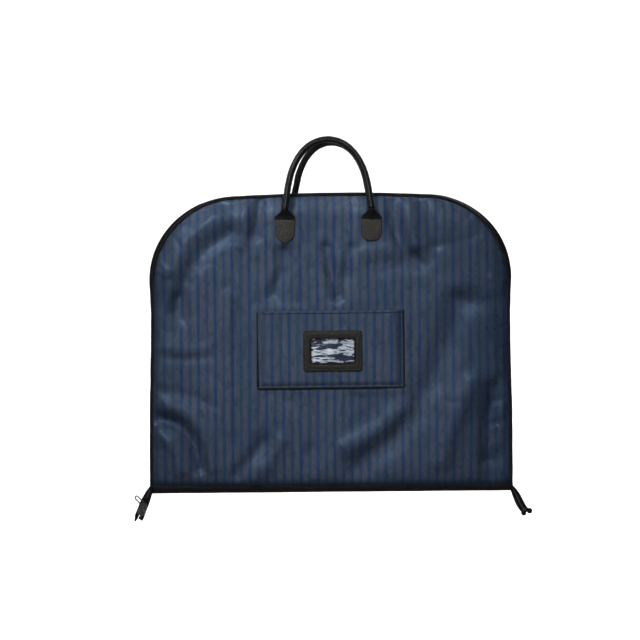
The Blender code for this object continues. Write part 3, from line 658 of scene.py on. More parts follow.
def woven_tape(name, along, across):
    """Herringbone tape or webbing."""
    p = Paint(name, specular=0.07)
    rib = p.wave(p.math("ADD", p.axis(along), p.math("PINGPONG", p.axis(across), 0.0016)), 0.0011)
    thread = p.noise(1600.0)
    p.layer(p.math("MULTIPLY", rib, thread), (0.010, 0.010, 0.012), (0.0020, 0.0020, 0.0025))
    p.layer(p.ramp(p.noise(60.0), 0.45, 0.8, 0.0, 0.25), (0.016, 0.016, 0.017))
    p.raise_by(rib, 0.00010)
    p.raise_by(thread, 0.00004)
    return p.finish(p.ramp(thread, 0.3, 0.7, 0.62, 0.85))


def moulded_plastic(name):
    p = Paint(name)
    fleck = p.noise(900.0, 4.0)
    p.layer(fleck, (0.020, 0.020, 0.023), (0.008, 0.008, 0.010))
    p.layer(p.ramp(p.noise(120.0), 0.55, 0.8, 0.0, 0.4), (0.040, 0.040, 0.042))
    p.raise_by(fleck, 0.00003)
    return p.finish(p.ramp(p.noise(200.0), 0.3, 0.7, 0.28, 0.46))


def metal(name, tint, worn, metallic=1.0, specular=0.5):
    p = Paint(name, metallic=metallic, specular=specular)
    brush = p.noise((300.0, 300.0, 2600.0))
    p.layer(p.ramp(p.noise(420.0, 5.0), 0.4, 0.75), worn, tint)
    p.raise_by(brush, 0.00002)
    return p.finish(p.ramp(brush, 0.3, 0.7, 0.18, 0.38))


def crumpled_film(name):
    """Clear film over the pocket, drawn opaque: its greys and pale patches are painted reflection and its
    near-white glints towards the left a painted highlight; it is dark where it lies open.
    """
    p = Paint(name, specular=0.2, coat=0.15, coat_roughness=0.05)
    crease = p.noise((26.0, 26.0, 105.0), distortion=1.1)
    fine = p.noise((95.0, 95.0, 330.0), 4.0, distortion=0.9)
    # painted reflection: greys and paler patches stand in for the glare on the clear film
    p.layer(p.ramp(fine, 0.34, 0.66), (0.38, 0.43, 0.49), (0.14, 0.17, 0.21))
    p.layer(p.ramp(p.noise((48.0, 48.0, 70.0), 2.0), 0.50, 0.66, 0.0, 0.75), (0.52, 0.57, 0.63))
    dark = p.math("MULTIPLY", p.ramp(crease, 0.500, 0.535), p.ramp(fine, 0.26, 0.38))
    p.layer(p.math("MULTIPLY", dark, 0.98), (0.003, 0.007, 0.026))
    # painted highlight: near-white glints, strongest towards the left
    painted_glint = p.math("MULTIPLY", p.ramp(fine, 0.60, 0.70), p.ramp(p.axis("X"), 0.012, -0.030))
    p.layer(painted_glint, (0.92, 0.94, 0.96))
    p.raise_by(crease, 0.0016)
    p.raise_by(fine, 0.0004)
    return p.finish(p.ramp(fine, 0.3, 0.7, 0.08, 0.25))


def sewing_thread(name, dark, light):
    p = Paint(name, roughness=0.6, specular=0.3, sheen=0.2)
    twist = p.noise(3200.0, 2.0)
    p.layer(twist, light, dark)
    p.raise_by(twist, 0.00004)
    return p.finish()


def studio_white(name):
    p = Paint(name, roughness=0.85, specular=0.1)
    p.layer(p.noise(0.7, 2.0), (0.74, 0.74, 0.74), (0.71, 0.71, 0.715))
    return p.finish()


# Both satins take painted shade at their sides: the bag's cloth towards the bag's sides, the pocket's cloth
# towards the pocket's sides, most of all its right side.
SATIN = striped_satin("striped_satin", 0.0, -0.030, (0.16, 0.30), 0.52, 1.0)
POCKET_SATIN = striped_satin("striped_satin_pocket", POCKET_STRIPE_SHIFT, -0.012, (0.106, 0.134), 0.86, 0.0)
LINING = lining_satin("lining_satin")
LEATHERS = {  # dark, light and worn colour, roughness and specular level, for some also grain and its depth
    "black_leather": ((0.0015, 0.0015, 0.0015), (0.0034, 0.0033, 0.0030), (0.010, 0.0098, 0.008), 0.40, 0.17),
    "brown_leather": ((0.009, 0.0085, 0.007), (0.024, 0.0225, 0.018), (0.046, 0.043, 0.036), 0.56, 0.22),
    "frame_leather": (
        (0.004, 0.0038, 0.003), (0.015, 0.014, 0.0105), (0.034, 0.032, 0.024), 0.54, 0.18, 700.0, 0.00022,
    ),
    "black_binding": ((0.0015, 0.0015, 0.0018), (0.0040, 0.0040, 0.0046), (0.009, 0.009, 0.010), 0.55, 0.12),
}
BLACK_LEATHER, BROWN_LEATHER, FRAME_LEATHER, BLACK_BINDING = (
    leather(name, *look) for name, look in LEATHERS.items()
)
TAPE = woven_tape("black_tape", "Z", "X")
WEBBING = woven_tape("black_webbing", "X", "Z")
PLASTIC = moulded_plastic("black_plastic")
GUNMETAL = metal("gunmetal", (0.040, 0.040, 0.042), (0.012, 0.012, 0.012), 0.0, 0.3)
NICKEL = metal("nickel", (0.24, 0.24, 0.235), (0.13, 0.13, 0.12))
DARK_METAL = metal("dark_metal", (0.045, 0.046, 0.048), (0.12, 0.12, 0.12))
FILM = crumpled_film("crumpled_film")
DARK_THREAD = sewing_thread("dark_thread", (0.006, 0.006, 0.008), (0.030, 0.030, 0.034))
GREY_THREAD = sewing_thread("grey_thread", (0.020, 0.020, 0.020), (0.070, 0.069, 0.064))


# ---------------------------------------------------------------- the two halves
def build_cloth(side):
    """The outer cloth and the lining of one half."""
    word = WORD[side]
    body = f"{word}_half"

    def face(x, z):
        return cloth_depth(x, z, side)

    cloth = sheet_mesh(f"{word}_cloth", side, EDGE_INSET - CLOTH_TUCK, FOOT_Z, CLOTH_STEP, face, SATIN)
    thicken(cloth, CLOTH_WALL)
    settle(cloth, body, "striped_cloth", f"{word}_panel")

    def inner_face(x, z):
        return lining_face(x, z, side) + 0.0003

    inset, foot = EDGE_INSET + 0.0012, FOOT_Z + 0.0008
    lining = sheet_mesh(
        f"{word}_lining_cloth", side, inset, foot, LINING_STEP, inner_face, LINING, turned=True
    )
    thicken(lining, 0.0006, 0.0)
    settle(lining, body, "lining", f"{word}_lining")


def edge_rings(inset, depth, ring_of):
    """Rings swept along the bag's edge and on beside the fold, set at an inset and a depth."""
    length = EDGE_LENGTH + 2 * BELOW_FOOT
    run = np.linspace(-BELOW_FOOT, EDGE_LENGTH + BELOW_FOOT, round(length / EDGE_STEP) + 1)
    points, outward = edge_frame(run, inset)
    return [hung(ring_of(s, middle, out)) for s, middle, out in zip(run, points + BACKWARD * depth, outward)]


def build_binding(side):
    """The black binding's cord edge, a little uneven from sewing, with a row of stitches beside it."""
    word = WORD[side]

    def ring_of(s, middle, out):
        wander = 0.00035 * noise(s / 0.045, 0.0, 40 + side)
        halves = PIPING_RADIUS * (1 + 0.07 * noise(s / 0.011, 0.0, 44 + side))
        return section_ring(middle + out * wander, out, BACKWARD, *halves, 12)

    rings = edge_rings(PIPING_INSET, side * PIPING_DEPTH, ring_of)
    binding = Shape().loft(rings).piece(f"{word}_binding", BLACK_BINDING)
    settle(binding, f"{word}_half", "black_leather", f"{word}_piping")

    points, outward = edge_frame(np.linspace(0, EDGE_LENGTH, 700), PIPING_INSET + 0.0019)
    line = hung(points + BACKWARD * side * (PIPING_DEPTH + 0.0016))
    seam = Shape().stitch(line, BACKWARD * side - 0.5 * outward, 0.0036, 0.0026, 0.00030)
    settle(seam.piece(f"{word}_binding_stitches", DARK_THREAD), f"{word}_half", "black_leather")


def edge_bulge(run):
    """How far the closed zip bows out at a place along the edge."""
    share = np.clip((min(run, EDGE_LENGTH - run) - SIDE_LENGTH + 0.06) / (ARC_LENGTH + 0.09), 0, 1)
    return CORNER_BULGE * np.sin(math.pi * share**0.75) ** 2


TAPE_PROFILE = MM * np.array([  # depth from the middle plane, inset from the outline
    (9.0, 1.6), (7.8, 0.4), (6.0, -0.1), (4.0, 0.2), (2.6, 0.8),
    (2.6, 1.7), (4.0, 1.2), (6.0, 0.9), (7.6, 1.4), (8.6, 2.6),
])
TOOTH = MM * np.array([  # depth, half-length along the edge, half-height
    (3.0, 0.48, 0.8), (1.2, 0.48, 1.1), (0.4, 0.34, 0.9), (-0.7, 0.62, 1.1),
])


def build_zip(side):
    """One half's woven tape and its row of moulded teeth."""
    word = WORD[side]

    def ring_of(s, middle, out):
        bow = edge_bulge(s)
        ripple = 0.00025 * noise(s / 0.016, 0.0, 50 + side)
        ring = []
        for depth, inset in TAPE_PROFILE:
            share = 1 - (depth - 0.0026) / 0.0064
            reach = bow * (0.45 + 0.55 * share) + ripple - inset
            ring.append(middle + BACKWARD * (side * depth) + out * reach)
        return ring

    tape = Shape().loft(edge_rings(0.0, 0.0, ring_of)).piece(f"{word}_tape", TAPE)
    settle(tape, f"{word}_half", "black_tape", f"{word}_zip_tape")

    run = TOOTH_PITCH * (np.arange(int(EDGE_LENGTH / TOOTH_PITCH)) + (0.25 if side == FRONT else 0.75))
    run = run[np.minimum(run, EDGE_LENGTH - run) >= TOOTHLESS]
    teeth = Shape()
    for s, point, out in zip(run, *edge_frame(run)):
        base = point + out * (edge_bulge(s) - 0.0013)
        along = np.cross(BACKWARD, out)
        rings = []
        for depth, half_run, half_out in TOOTH:
            middle = base + BACKWARD * (side * depth)
            corners = ((1, 1), (-1, 1), (-1, -1), (1, -1))
            rings.append(hung([middle + along * (a * half_run) + out * (b * half_out) for a, b in corners]))
        teeth.loft(rings)
    teeth = teeth.piece(f"{word}_teeth", PLASTIC, smooth=False)
    settle(teeth, f"{word}_half", "black_plastic", f"{word}_zip_teeth")


def build_fold():
    """The dark binding that runs under the bag from one half to the other and covers the fold."""
    half_length = HALF_WIDTH - EDGE_INSET + CLOTH_TUCK
    xs = np.linspace(-half_length, half_length, round(2 * half_length / 0.004) + 1)
    drop = FOOT_Z - FOLD_Z + FOLD_SAG - FOLD_LEAN * xs
    points = []
    for i in range(FOLD_ROWS):
        angle = math.pi * i / (FOLD_ROWS - 1)
        c, s = math.cos(angle), math.sin(angle)
        swell = 0.0006 * noise(xs / 0.030, i / 9.0, 61) * s
        y = -(EDGE_DEPTH + 0.0004 + swell) * math.copysign(abs(c) ** 0.8, c)
        z = FOOT_Z + 0.0016 * c**8 - drop * s**0.7 - swell * 0.3
        points.extend(np.stack([xs, y, z], axis=1))
    fold = make_piece("fold_binding", points, grid_faces(FOLD_ROWS, len(xs)), BLACK_BINDING)
    thicken(fold, 0.0010, 1.0)
    bpy.context.view_layer.update()
    solid = bpy.data.meshes.new_from_object(fold.evaluated_get(bpy.context.evaluated_depsgraph_get()))
    fold.modifiers.clear()
    fold.data = solid
    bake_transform(fold)
    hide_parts("fold_spine")


# ---------------------------------------------------------------- handles and their patches
HANDLE_WORD = {FRONT: "front", BACK: "rear"}
HANDLE_RADIUS = 0.0055
HANDLE_SIDES = 32
PIVOT_Z = -0.112
PIVOT_DEPTH = 0.0336
GRIP_DEPTH = 0.0061
FOOT_X = 0.0712
HANDLE_ROUTE = MM * np.array([  # half of one arch: distance from its middle, height
    (70.7, -106.2), (69.0, -93.0), (65.5, -68.0), (60.0, -45.0),
    (50.5, -23.5), (37.5, -6.5), (20.5, 5.0), (0.0, 9.2),
])
FOOT_STATIONS = (  # in mm: height, half-width, middle depth, rise outwards and inwards, edge, and a power
    (-124.5, 16.6, 22.9, 1.2, 0.4, 1.0, 2.0),
    (-124.2, 17.0, 22.9, 2.0, 0.5, 1.6, 2.0),
    (-122.8, 17.2, 22.9, 3.0, 0.5, 1.8, 2.5),
    (-120.8, 17.0, 22.9, 4.4, 0.5, 1.8, 2.5),
    (-118.8, 16.0, 23.2, 5.8, 0.6, 1.8, 2.2),
    (-116.8, 14.0, 23.9, 7.2, 1.0, 1.8, 1.8),
    (-114.8, 11.3, 25.3, 8.0, 2.0, 1.6, 1.3),
    (-112.8, 8.7, 27.5, 8.1, 3.4, 1.2, 0.9),
    (-110.6, 6.8, 30.0, 7.3, 4.6, 0.6, 0.6),
    (-108.0, 5.8, 32.0, 6.0, 5.4, 0.0, 0.5),
)


def handle_line(side, middle_x, squeeze, drop, lean):
    """The middle line of one handle above its feet, from left to right over the grip."""
    x, z = HANDLE_ROUTE.T
    share = (z - PIVOT_Z) / (z[-1] - PIVOT_Z)
    free = smoothstep(0.0, 0.3, share)
    reach = x * (1 - (1 - squeeze) * free)
    middle = middle_x + lean * free
    y = side * (PIVOT_DEPTH + (GRIP_DEPTH - PIVOT_DEPTH) * share)
    left, right = (np.stack([x, y, z - drop * share], axis=1) for x in (middle - reach, middle + reach))
    return respaced(catmull_rom([*left, *right[-2::-1]], 10), 0.0016)


def foot_rings(side, middle_x, sign):
    """Rings of one handle end, from its straight lower edge up to where it is round."""
    rings = []
    for *sizes, power in catmull_rom(FOOT_STATIONS, 4):
        z, width, depth, outwards, inwards, edge = MM * np.array(sizes)
        ring = []
        for k in range(HANDLE_SIDES):
            angle = 2 * math.pi * k / HANDLE_SIDES
            u = math.cos(angle)
            round_share = max(0.0, 1 - u * u)
            if math.sin(angle) < 0:
                rise = edge * (1 - u**8) ** 0.5 + max(outwards - edge, 0.0) * round_share ** max(power, 0.5)
                rise += 0.00035 * smoothstep(-0.112, -0.118, z) * math.sin(9.0 * u + 2.0 * sign) * round_share
            else:
                rise = -inwards * round_share**0.5
            ring.append(np.array([middle_x + sign * FOOT_X + width * u, side * (depth + rise), z]))
        rings.append(ring)
    return rings


def build_handle(side, middle_x, squeeze=1.0, drop=0.0, lean=0.0):
    """Rolled leather on a rope core; each end flares like a tent into a flat black tab."""
    word = HANDLE_WORD[side]
    line = handle_line(side, middle_x, squeeze, drop, lean)
    rings = foot_rings(side, middle_x, -1)
    seam_points = []
    seam_ups = []
    for i, (middle, t) in enumerate(zip(line, tangents(line))):
        across = unit(np.cross(BACKWARD, t))
        inner = side * np.cross(across, t)
        radius = HANDLE_RADIUS * (1 + 0.03 * noise(i / 9.0, 0.5, 71 + side))

        def lift(angle, i=i):
            crest = angle - 1.5 * math.pi
            ridge = 0.00070 * bump(crest, 0.16) - 0.00035 * bump(abs(crest) - 0.42, 0.14)
            return ridge + 0.00020 * noise(i / 2.1, angle * 1.2, 75 + side)

        rings.append(section_ring(middle, across, inner, radius, radius, HANDLE_SIDES, lift=lift))
        seam_points.append(middle - inner * (radius + 0.00072))
        seam_ups.append(-inner)
    rings.extend(reversed(foot_rings(side, middle_x, 1)))
    cover = Shape().loft(rings).piece(f"{word}_handle_roll", BLACK_LEATHER)
    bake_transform(cover)
    tabs = [f"{word}_{place}_handle_tab" for place in ("left", "right")]
    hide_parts(f"{word}_handle_cover", *tabs, f"{word}_handle_core")
    seam = Shape().stitch(seam_points, seam_ups, 0.0034, 0.0024, 0.00034, 0.0001)
    settle(seam.piece(f"{word}_handle_stitches", GREY_THREAD), f"{word}_handle", "black_leather")


SHIELD_TOP_Z = -0.1243
SHIELD_STEPS = 26
SHIELDS = (  # side of the handle's middle, half-width, shoulder and foot height, powers that point the foot
    ("left", -1, 0.0160, -0.1420, -0.1625, 1.15, 0.92),
    ("right", 1, 0.0170, -0.1460, -0.1597, 1.0, 1.0),
)
SHIELD_PROFILE = MM * np.array([  # inset from the outline, rise over the cloth
    (0.4, 0.0), (0.0, 0.6), (0.0, 1.3), (0.5, 1.9), (1.8, 2.1),
    (2.8, 1.8), (3.8, 2.1), (7.5, 2.3), (12.0, 2.4),
])


def shield_ring(at, depth, inset, half, shoulder, foot, power_x, power_z):
    """A shield from its upper right corner round its foot."""
    right = []
    for k in range(SHIELD_STEPS + 1):
        u = 2 * k / SHIELD_STEPS
        turn = max(u - 1, 0.0) * math.pi / 2
        straight = SHIELD_TOP_Z + (shoulder - SHIELD_TOP_Z) * min(u, 1.0)
        z = straight - (shoulder - foot) * math.sin(turn) ** power_z
        right.append((half * max(math.cos(turn), 0.0) ** power_x, z))
    middle_z = (SHIELD_TOP_Z + foot) / 2
    scale_x = 1 - inset / half
    scale_z = 1 - 2 * inset / (SHIELD_TOP_Z - foot)
    outline = right + [(-x, z) for x, z in right[-2::-1]]
    return [np.array([at + x * scale_x, depth, middle_z + (z - middle_z) * scale_z]) for x, z in outline]


def build_patches(side, middle_x):
    """The stitched leather shields below a handle's ends."""
    base = FACE_DEPTH + GAP
    body = f"{WORD[side]}_half"
    for place, sign, *sizes in SHIELDS:
        name = f"{HANDLE_WORD[side]}_{place}"
        at = middle_x + sign * PATCH_REACH
        rings = [shield_ring(at, side * (base + rise), inset, *sizes) for inset, rise in SHIELD_PROFILE]
        patch = Shape().loft(rings).piece(f"{name}_shield", BROWN_LEATHER)
        settle(patch, body, "brown_leather", f"{name}_patch")
        line = shield_ring(at, side * (base + 0.0019), 0.0028, *sizes)
        seam = Shape().stitch([*line, line[0]], BACKWARD * side, 0.0029, 0.0020, 0.00028)
        settle(seam.piece(f"{name}_shield_stitches", DARK_THREAD), body, "black_leather")


# ---------------------------------------------------------------- pocket and name window
POCKET_WIDTH = 2 * POCKET_HIGH.x
POCKET_HEIGHT = POCKET_HIGH.z - POCKET_LOW.z
POCKET_SKEW = 0.0070
POCKET_SEAM = 0.0036
HEM = 0.0042
FRAME_LOW, FRAME_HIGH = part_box("name_window_frame")
FRAME_HALF = ((FRAME_HIGH.x - FRAME_LOW.x) / 2, (FRAME_HIGH.z - FRAME_LOW.z) / 2)
WINDOW_HALF = (0.036, 0.0205)
FRAME_PROFILE = (  # share of the frame's width from its outer edge, height over its back
    (0.00, 0.0000), (-0.02, 0.0008), (0.02, 0.0016), (0.09, 0.0021), (0.16, 0.0019),
    (0.20, 0.0016), (0.25, 0.0020), (0.45, 0.0024), (0.70, 0.0022), (0.78, 0.0019),
    (0.84, 0.0016), (0.90, 0.0019), (0.97, 0.0015), (1.00, 0.0006), (0.99, 0.0000),
)


def pocket_lift(u, v):
    """Height of the pocket over the cloth, at u and v metres from its left and lower edges."""
    right = POCKET_WIDTH - u
    side = np.minimum(u, right)
    roll = smoothstep(-0.0004, 0.0014, side) * smoothstep(-0.0004, 0.0014, v)
    swell = smoothstep(0.0030, 0.013, u) * smoothstep(0.0030, 0.017, right) * smoothstep(0.0022, 0.011, v)
    seams = 0.0007 * bump(side - POCKET_SEAM, 0.0012) + 0.0006 * bump(v - POCKET_SEAM, 0.0012)
    hem = 0.0010 * smoothstep(POCKET_HEIGHT - HEM - 0.0004, POCKET_HEIGHT - HEM + 0.0006, v)
    puff = 0.0032 + 0.0004 * noise(u / 0.030, v / 0.050, 81) + 0.0003 * noise(u / 0.013, v / 0.03, 83)
    return roll * (0.0012 - seams + hem) + swell * puff


def pocket_point(u, v, extra=0.0):
    """A point of the pocket's outer face, with the small skew it is sewn on with."""
    x = u - POCKET_WIDTH / 2
    depth = FACE_DEPTH + GAP + pocket_lift(np.clip(u, 0, POCKET_WIDTH), v) + extra
    z = POCKET_LOW.z + v + POCKET_SKEW * x
    return np.stack([x - POCKET_SKEW * (v - POCKET_HEIGHT / 2), -depth, z], axis=-1)


def build_pocket():
    """A patch pocket of the same cloth, sewn on three sides, with a turned hem at its mouth."""
    edge = np.array([0.0, 0.4, 0.9, 1.5, 2.3, 3.2, 4.1, 5.0]) * MM
    hem = np.array([7.0, 5.6, 4.8, 4.4, 4.1, 3.8, 3.0, 1.6, 0.7, 0.0]) * MM
    us = np.concatenate([edge, np.linspace(0.007, POCKET_WIDTH - 0.007, 100), POCKET_WIDTH - edge[::-1]])
    vs = np.concatenate([edge, np.linspace(0.007, POCKET_HEIGHT - 0.0095, 50), POCKET_HEIGHT - hem])
    points = pocket_point(*np.meshgrid(us, vs)).reshape(-1, 3)
    pocket = make_piece("patch_pocket", points, grid_faces(len(vs), len(us)), POCKET_SATIN)
    thicken(pocket, 0.0009)
    settle(pocket, "front_half", "striped_cloth", "card_pocket")

    left, right, top = POCKET_SEAM, POCKET_WIDTH - POCKET_SEAM, POCKET_HEIGHT - 0.001
    mouth = POCKET_HEIGHT - HEM - 0.0006
    rows = (
        (30, (left, POCKET_SEAM), (left, top)),
        (60, (left, POCKET_SEAM), (right, POCKET_SEAM)),
        (30, (right, POCKET_SEAM), (right, top)),
        (60, (left, mouth), (right, mouth)),
    )
    seam = Shape()
    for count, start, end in rows:
        seam.stitch(pocket_point(*np.linspace(start, end, count).T, 0.0001), FORWARD, 0.0030, 0.0021, 0.00026)
    seam = settle(seam.piece("patch_pocket_stitches", DARK_THREAD), "front_half", "striped_cloth")

    corner, beyond = 0.0012, 0.0002
    across = np.linspace(corner, POCKET_WIDTH - corner, 60)
    up = np.linspace(corner, POCKET_HEIGHT, 36)
    us = np.concatenate([[-beyond] * 36, across, [POCKET_WIDTH + beyond] * 36])
    line = pocket_point(us, np.concatenate([up[::-1], [-beyond] * 60, up]))
    line[:, 1] = -(FACE_DEPTH + 0.0007)
    line = respaced(line, 0.0022)
    x, _, z = line.T
    # The black cord along the sewn edges is edging and also a stand-in for the shadow along them. worn here
    # is no wear: it is the share by which the cord swells towards the bottom and lower left, a painted shadow
    # of the gap there.
    worn = smoothstep(POCKET_HIGH.z - 0.05, POCKET_LOW.z + 0.01, z) * smoothstep(0.120, 0.060, x)
    swell = (1 + 0.18 * noise(np.arange(len(line)) / 2.4, 0.3, 87)) * (1 + 0.8 * worn)
    cord = Shape().loft(swept(line, np.outer(swell, (0.0011, 0.0009)), FORWARD, 10))
    cord = settle(cord.piece("patch_pocket_edge", BLACK_BINDING), "front_half", "black_leather")


def window_ring(share, height, radius, grow=0.0):
    """A round-cornered ring of the window's frame, at a share of its width, notched near its outer edge."""
    half_x, half_z = (a + share * (b - a) + grow for a, b in zip(FRAME_HALF, WINDOW_HALF))
    middle = (FRAME_LOW + FRAME_HIGH) / 2
    ring = []
    for cx, cz, start in ((1, 1, 0), (-1, 1, 90), (-1, -1, 180), (1, -1, 270)):
        for angle in np.radians(np.linspace(start, start + 90, 9)):
            x = cx * (half_x - radius) + radius * math.cos(angle)
            z = cz * (half_z - radius) + radius * math.sin(angle)
            if share < 0.1 and x > half_x - 0.001:
                x -= 0.0012 * bump(z + 0.004, 0.0022)
            ring.append(np.array([middle.x + x, FRAME_HIGH.y - height, middle.z + z]))
    return ring


def build_name_window():
    """A crumpled clear film behind a bevelled and stitched leather frame."""
    rings = [window_ring(share, height, 0.0042 + 0.0004 * share) for share, height in FRAME_PROFILE]
    leather_frame = Shape().loft(rings, close=True).piece("window_frame", FRAME_LEATHER)
    settle(leather_frame, "front_half", "brown_leather", "name_window_frame")

    seam = Shape()
    for share in (0.20, 0.74):
        ring = window_ring(share, 0.0017, 0.0040)
        seam.stitch([*ring, ring[0]], FORWARD, 0.0028, 0.0019, 0.00025)
    settle(seam.piece("window_frame_stitches", DARK_THREAD), "front_half", "black_leather")

    line = np.array(window_ring(1.0, 0.0014, 0.0042, 0.0006))
    cord = Shape().loft(swept(line, (0.0013, 0.0011), FORWARD, 10, closed=True), close=True)
    settle(cord.piece("window_edge", BLACK_BINDING), "front_half", "black_leather")

    low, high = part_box("name_window_film")
    columns, rows = 84, 50
    x, z = np.meshgrid(np.linspace(low.x, high.x, columns), np.linspace(low.z, high.z, rows))
    edge = np.minimum(np.minimum(x - low.x, high.x - x), np.minimum(z - low.z, high.z - z))
    slant = z + 0.15 * x
    crease = np.abs(noise(x / 0.020, slant / 0.0050, 91)) + 0.5 * np.abs(noise(x / 0.011, slant / 0.0028, 93))
    y = high.y - 0.0002 - smoothstep(0.004, 0.010, edge) * (0.0002 + 0.0009 * crease)
    points = np.stack([x, y, z], axis=-1).reshape(-1, 3)
    film = make_piece("window_film", points, grid_faces(rows, columns), FILM)
    thicken(film, 0.0003)
    settle(film, "front_half", "clear_film", "name_window_film")


# ---------------------------------------------------------------- zip tails, slider and pull
TAIL_MATRIX = Matrix.Translation((-0.3129, 0.0, -0.6010)) @ Matrix.Rotation(math.radians(21.7), 4, "Y")
LEFT_TAIL = (  # in mm about the slider: (x, z, half-width) along the tape and its two free ends
    (
        (1.2, 39.5, 3.8), (0.8, 34, 5), (0, 28, 5.8), (-0.2, 20, 6.8),
        (-0.4, 12, 7.5), (-0.8, 3.4, 7.7), (-1, -1, 7),
    ),
    ((-4.6, 4, 3.2), (-5, -12, 3.4), (-4.6, -17.5, 2.6), (-4.2, -23.6, 1.3)),
    ((3.8, 4, 3.2), (3.4, -13, 4), (2.8, -18.2, 4)),
)
LEFT_TAIL_SEAM = MM * np.array([(2.4, -1.3, 36.0), (3.4, -1.3, 28.0), (3.9, -1.3, 20.0), (4.0, -1.3, 12.5)])
LEFT_COILS = (  # in mm: radius, wire, and the (x, y, z) points of the coil's line
    (1.2, 0.38, (0.6, -1.6, 37), (0, -1.6, 30), (0, -1.6, 20.5)),
    (0.7, 0.30, (-2.1, -1.4, -11.8), (-2.2, -1.4, -20)),
    (0.7, 0.30, (2.1, -1.4, -11.8), (2.2, -1.4, -16)),
)
RIGHT_TAIL = MM * np.array([  # (x, z, width) from the bag's corner to the end
    (297.2, -564.0, 6.0), (299.0, -568.0, 7.4), (303.0, -575.0, 10.6), (307.2, -583.0, 13.0),
    (312.2, -594.0, 14.0), (317.6, -603.0, 13.2), (321.2, -607.2, 13.0), (323.6, -609.8, 13.6),
])
RIGHT_KNOBS = ((0.3284, -0.6074, 0.0046), (0.3186, -0.6112, 0.0043))  # x, z, radius
COIL_STEP = 0.0003


def strap_rings(stations, wall, count=16):
    """Rings of a flat strap with rounded edges through (x, z, half-width) stations, in the XZ plane."""
    x, z, half = stations.T
    halves = np.stack([half, 0 * half + wall / 2], axis=1)
    return swept(np.stack([x, 0 * x, z], axis=1), halves, count=count, power=4.0)


def coil_rings(line, radius, wire, pitch):
    """Rings of a nylon coil: a wire wound round a line in the XZ plane."""
    line = respaced(line, COIL_STEP)
    turn = (2 * math.pi * COIL_STEP / pitch) * np.arange(len(line))[:, None]
    wound = line + np.cross(tangents(line), BACKWARD) * (radius * np.cos(turn))
    return swept(wound + BACKWARD * (0.8 * radius * np.sin(turn)), (wire, wire), count=6)


def build_left_tail():
    """The zip's free end: tape on both sides of the coil, split below the slider."""
    tape, chain, seam = Shape(), Shape(), Shape()
    for stations in LEFT_TAIL:
        tape.loft(strap_rings(respaced(catmull_rom(np.array(stations) * MM, 6), 0.0015), 0.0024))
    settle(tape.move(TAIL_MATRIX).piece("left_tail_tape", TAPE), "left_tail", "black_tape", "left_zip_tail")
    for radius, wire, *line in LEFT_COILS:
        chain.loft(coil_rings(np.array(line) * MM, radius * MM, wire * MM, 0.0014))
    # painted highlight: the coil is drawn in grey thread to give the light line along the chain, on what is
    # black plastic
    settle(chain.move(TAIL_MATRIX).piece("left_tail_coil", GREY_THREAD), "left_tail", "black_plastic")
    for sign in (-1, 1):
        seam.stitch(LEFT_TAIL_SEAM * (sign, 1, 1), FORWARD, 0.0024, 0.0016, 0.00022)
    settle(seam.move(TAIL_MATRIX).piece("left_tail_stitches", DARK_THREAD), "left_tail", "black_tape")


def build_right_tail():
    """The other end of the zip, a stitched strap that widens to a forked end."""
    stations = respaced(catmull_rom(RIGHT_TAIL, 8), 0.0012) * (1, 1, 0.5)
    rings = strap_rings(stations, 0.0026, 24)
    flat = np.array([1.0, 0.0, 1.0])
    along = unit((rings[-1][0] - rings[-2][0]) * flat)
    for back_by in range(1, 5):
        ring = np.array(rings[-back_by])
        off = ring - ring.mean(axis=0)
        share = 1 - np.linalg.norm(off * flat, axis=1) / np.linalg.norm(off, axis=1).max()
        rings[-back_by] = ring - np.outer(0.0026 * share * (1.25 - back_by / 4), along)
    tape = Shape().loft(rings)
    for x, z, radius in RIGHT_KNOBS:
        knob = []
        for angle in math.pi * np.linspace(0.04, 0.96, 11):
            middle = np.array([x, 0.0, z]) - along * (radius * math.cos(angle))
            size = radius * math.sin(angle)
            knob.append(section_ring(middle, np.cross(BACKWARD, along), BACKWARD, size, 0.5 * size, 16))
        tape.loft(knob)
    settle(tape.piece("right_tail_tape", TAPE), "right_tail", "black_tape", "right_zip_tail")

    x, z, halves = stations.T
    line = np.stack([x, 0 * x - 0.00135, z], axis=1)
    reach = np.cross(BACKWARD, tangents(line)) * (halves - 0.0012)[:, None]
    seam = Shape()
    for sign in (-1, 1):
        seam.stitch((line + sign * reach)[3:-3], FORWARD, 0.0026, 0.0018, 0.00024)
    seam.loft(coil_rings(line[3:-8] + FORWARD * 0.0006, 0.0010, 0.00034, 0.0015))
    settle(seam.piece("right_tail_coil_and_stitches", GREY_THREAD), "right_tail", "black_plastic")


def build_pull():
    """The slider's wire ring."""
    radius, length = 0.0030, 0.0180
    loop = []
    for centre, start in ((-radius, -90), (radius - length, 90)):
        for angle in np.radians(np.linspace(start, start + 180, 17)):
            out = centre + radius * math.cos(angle)
            loop.append((out, -0.0052, 0.0075 + radius * math.sin(angle) - 0.42 * out))
    ring = Shape().loft(swept(np.array(loop), (0.00115, 0.00085), count=12, closed=True), close=True)
    settle(ring.move(TAIL_MATRIX).piece("pull_ring", GUNMETAL), "pull", "nickel", "slider_pull_ring")


def soften(node, material, width):
    """A CAD node kept as it is, with its edges rounded over and a finished material."""
    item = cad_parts[node]
    bevel = item.modifiers.new("edges", "BEVEL")
    bevel.width = width
    bevel.segments = 3
    bevel.limit_method = "ANGLE"
    bevel.angle_limit = math.radians(35)
    item.data.materials.clear()
    item.data.materials.append(material)


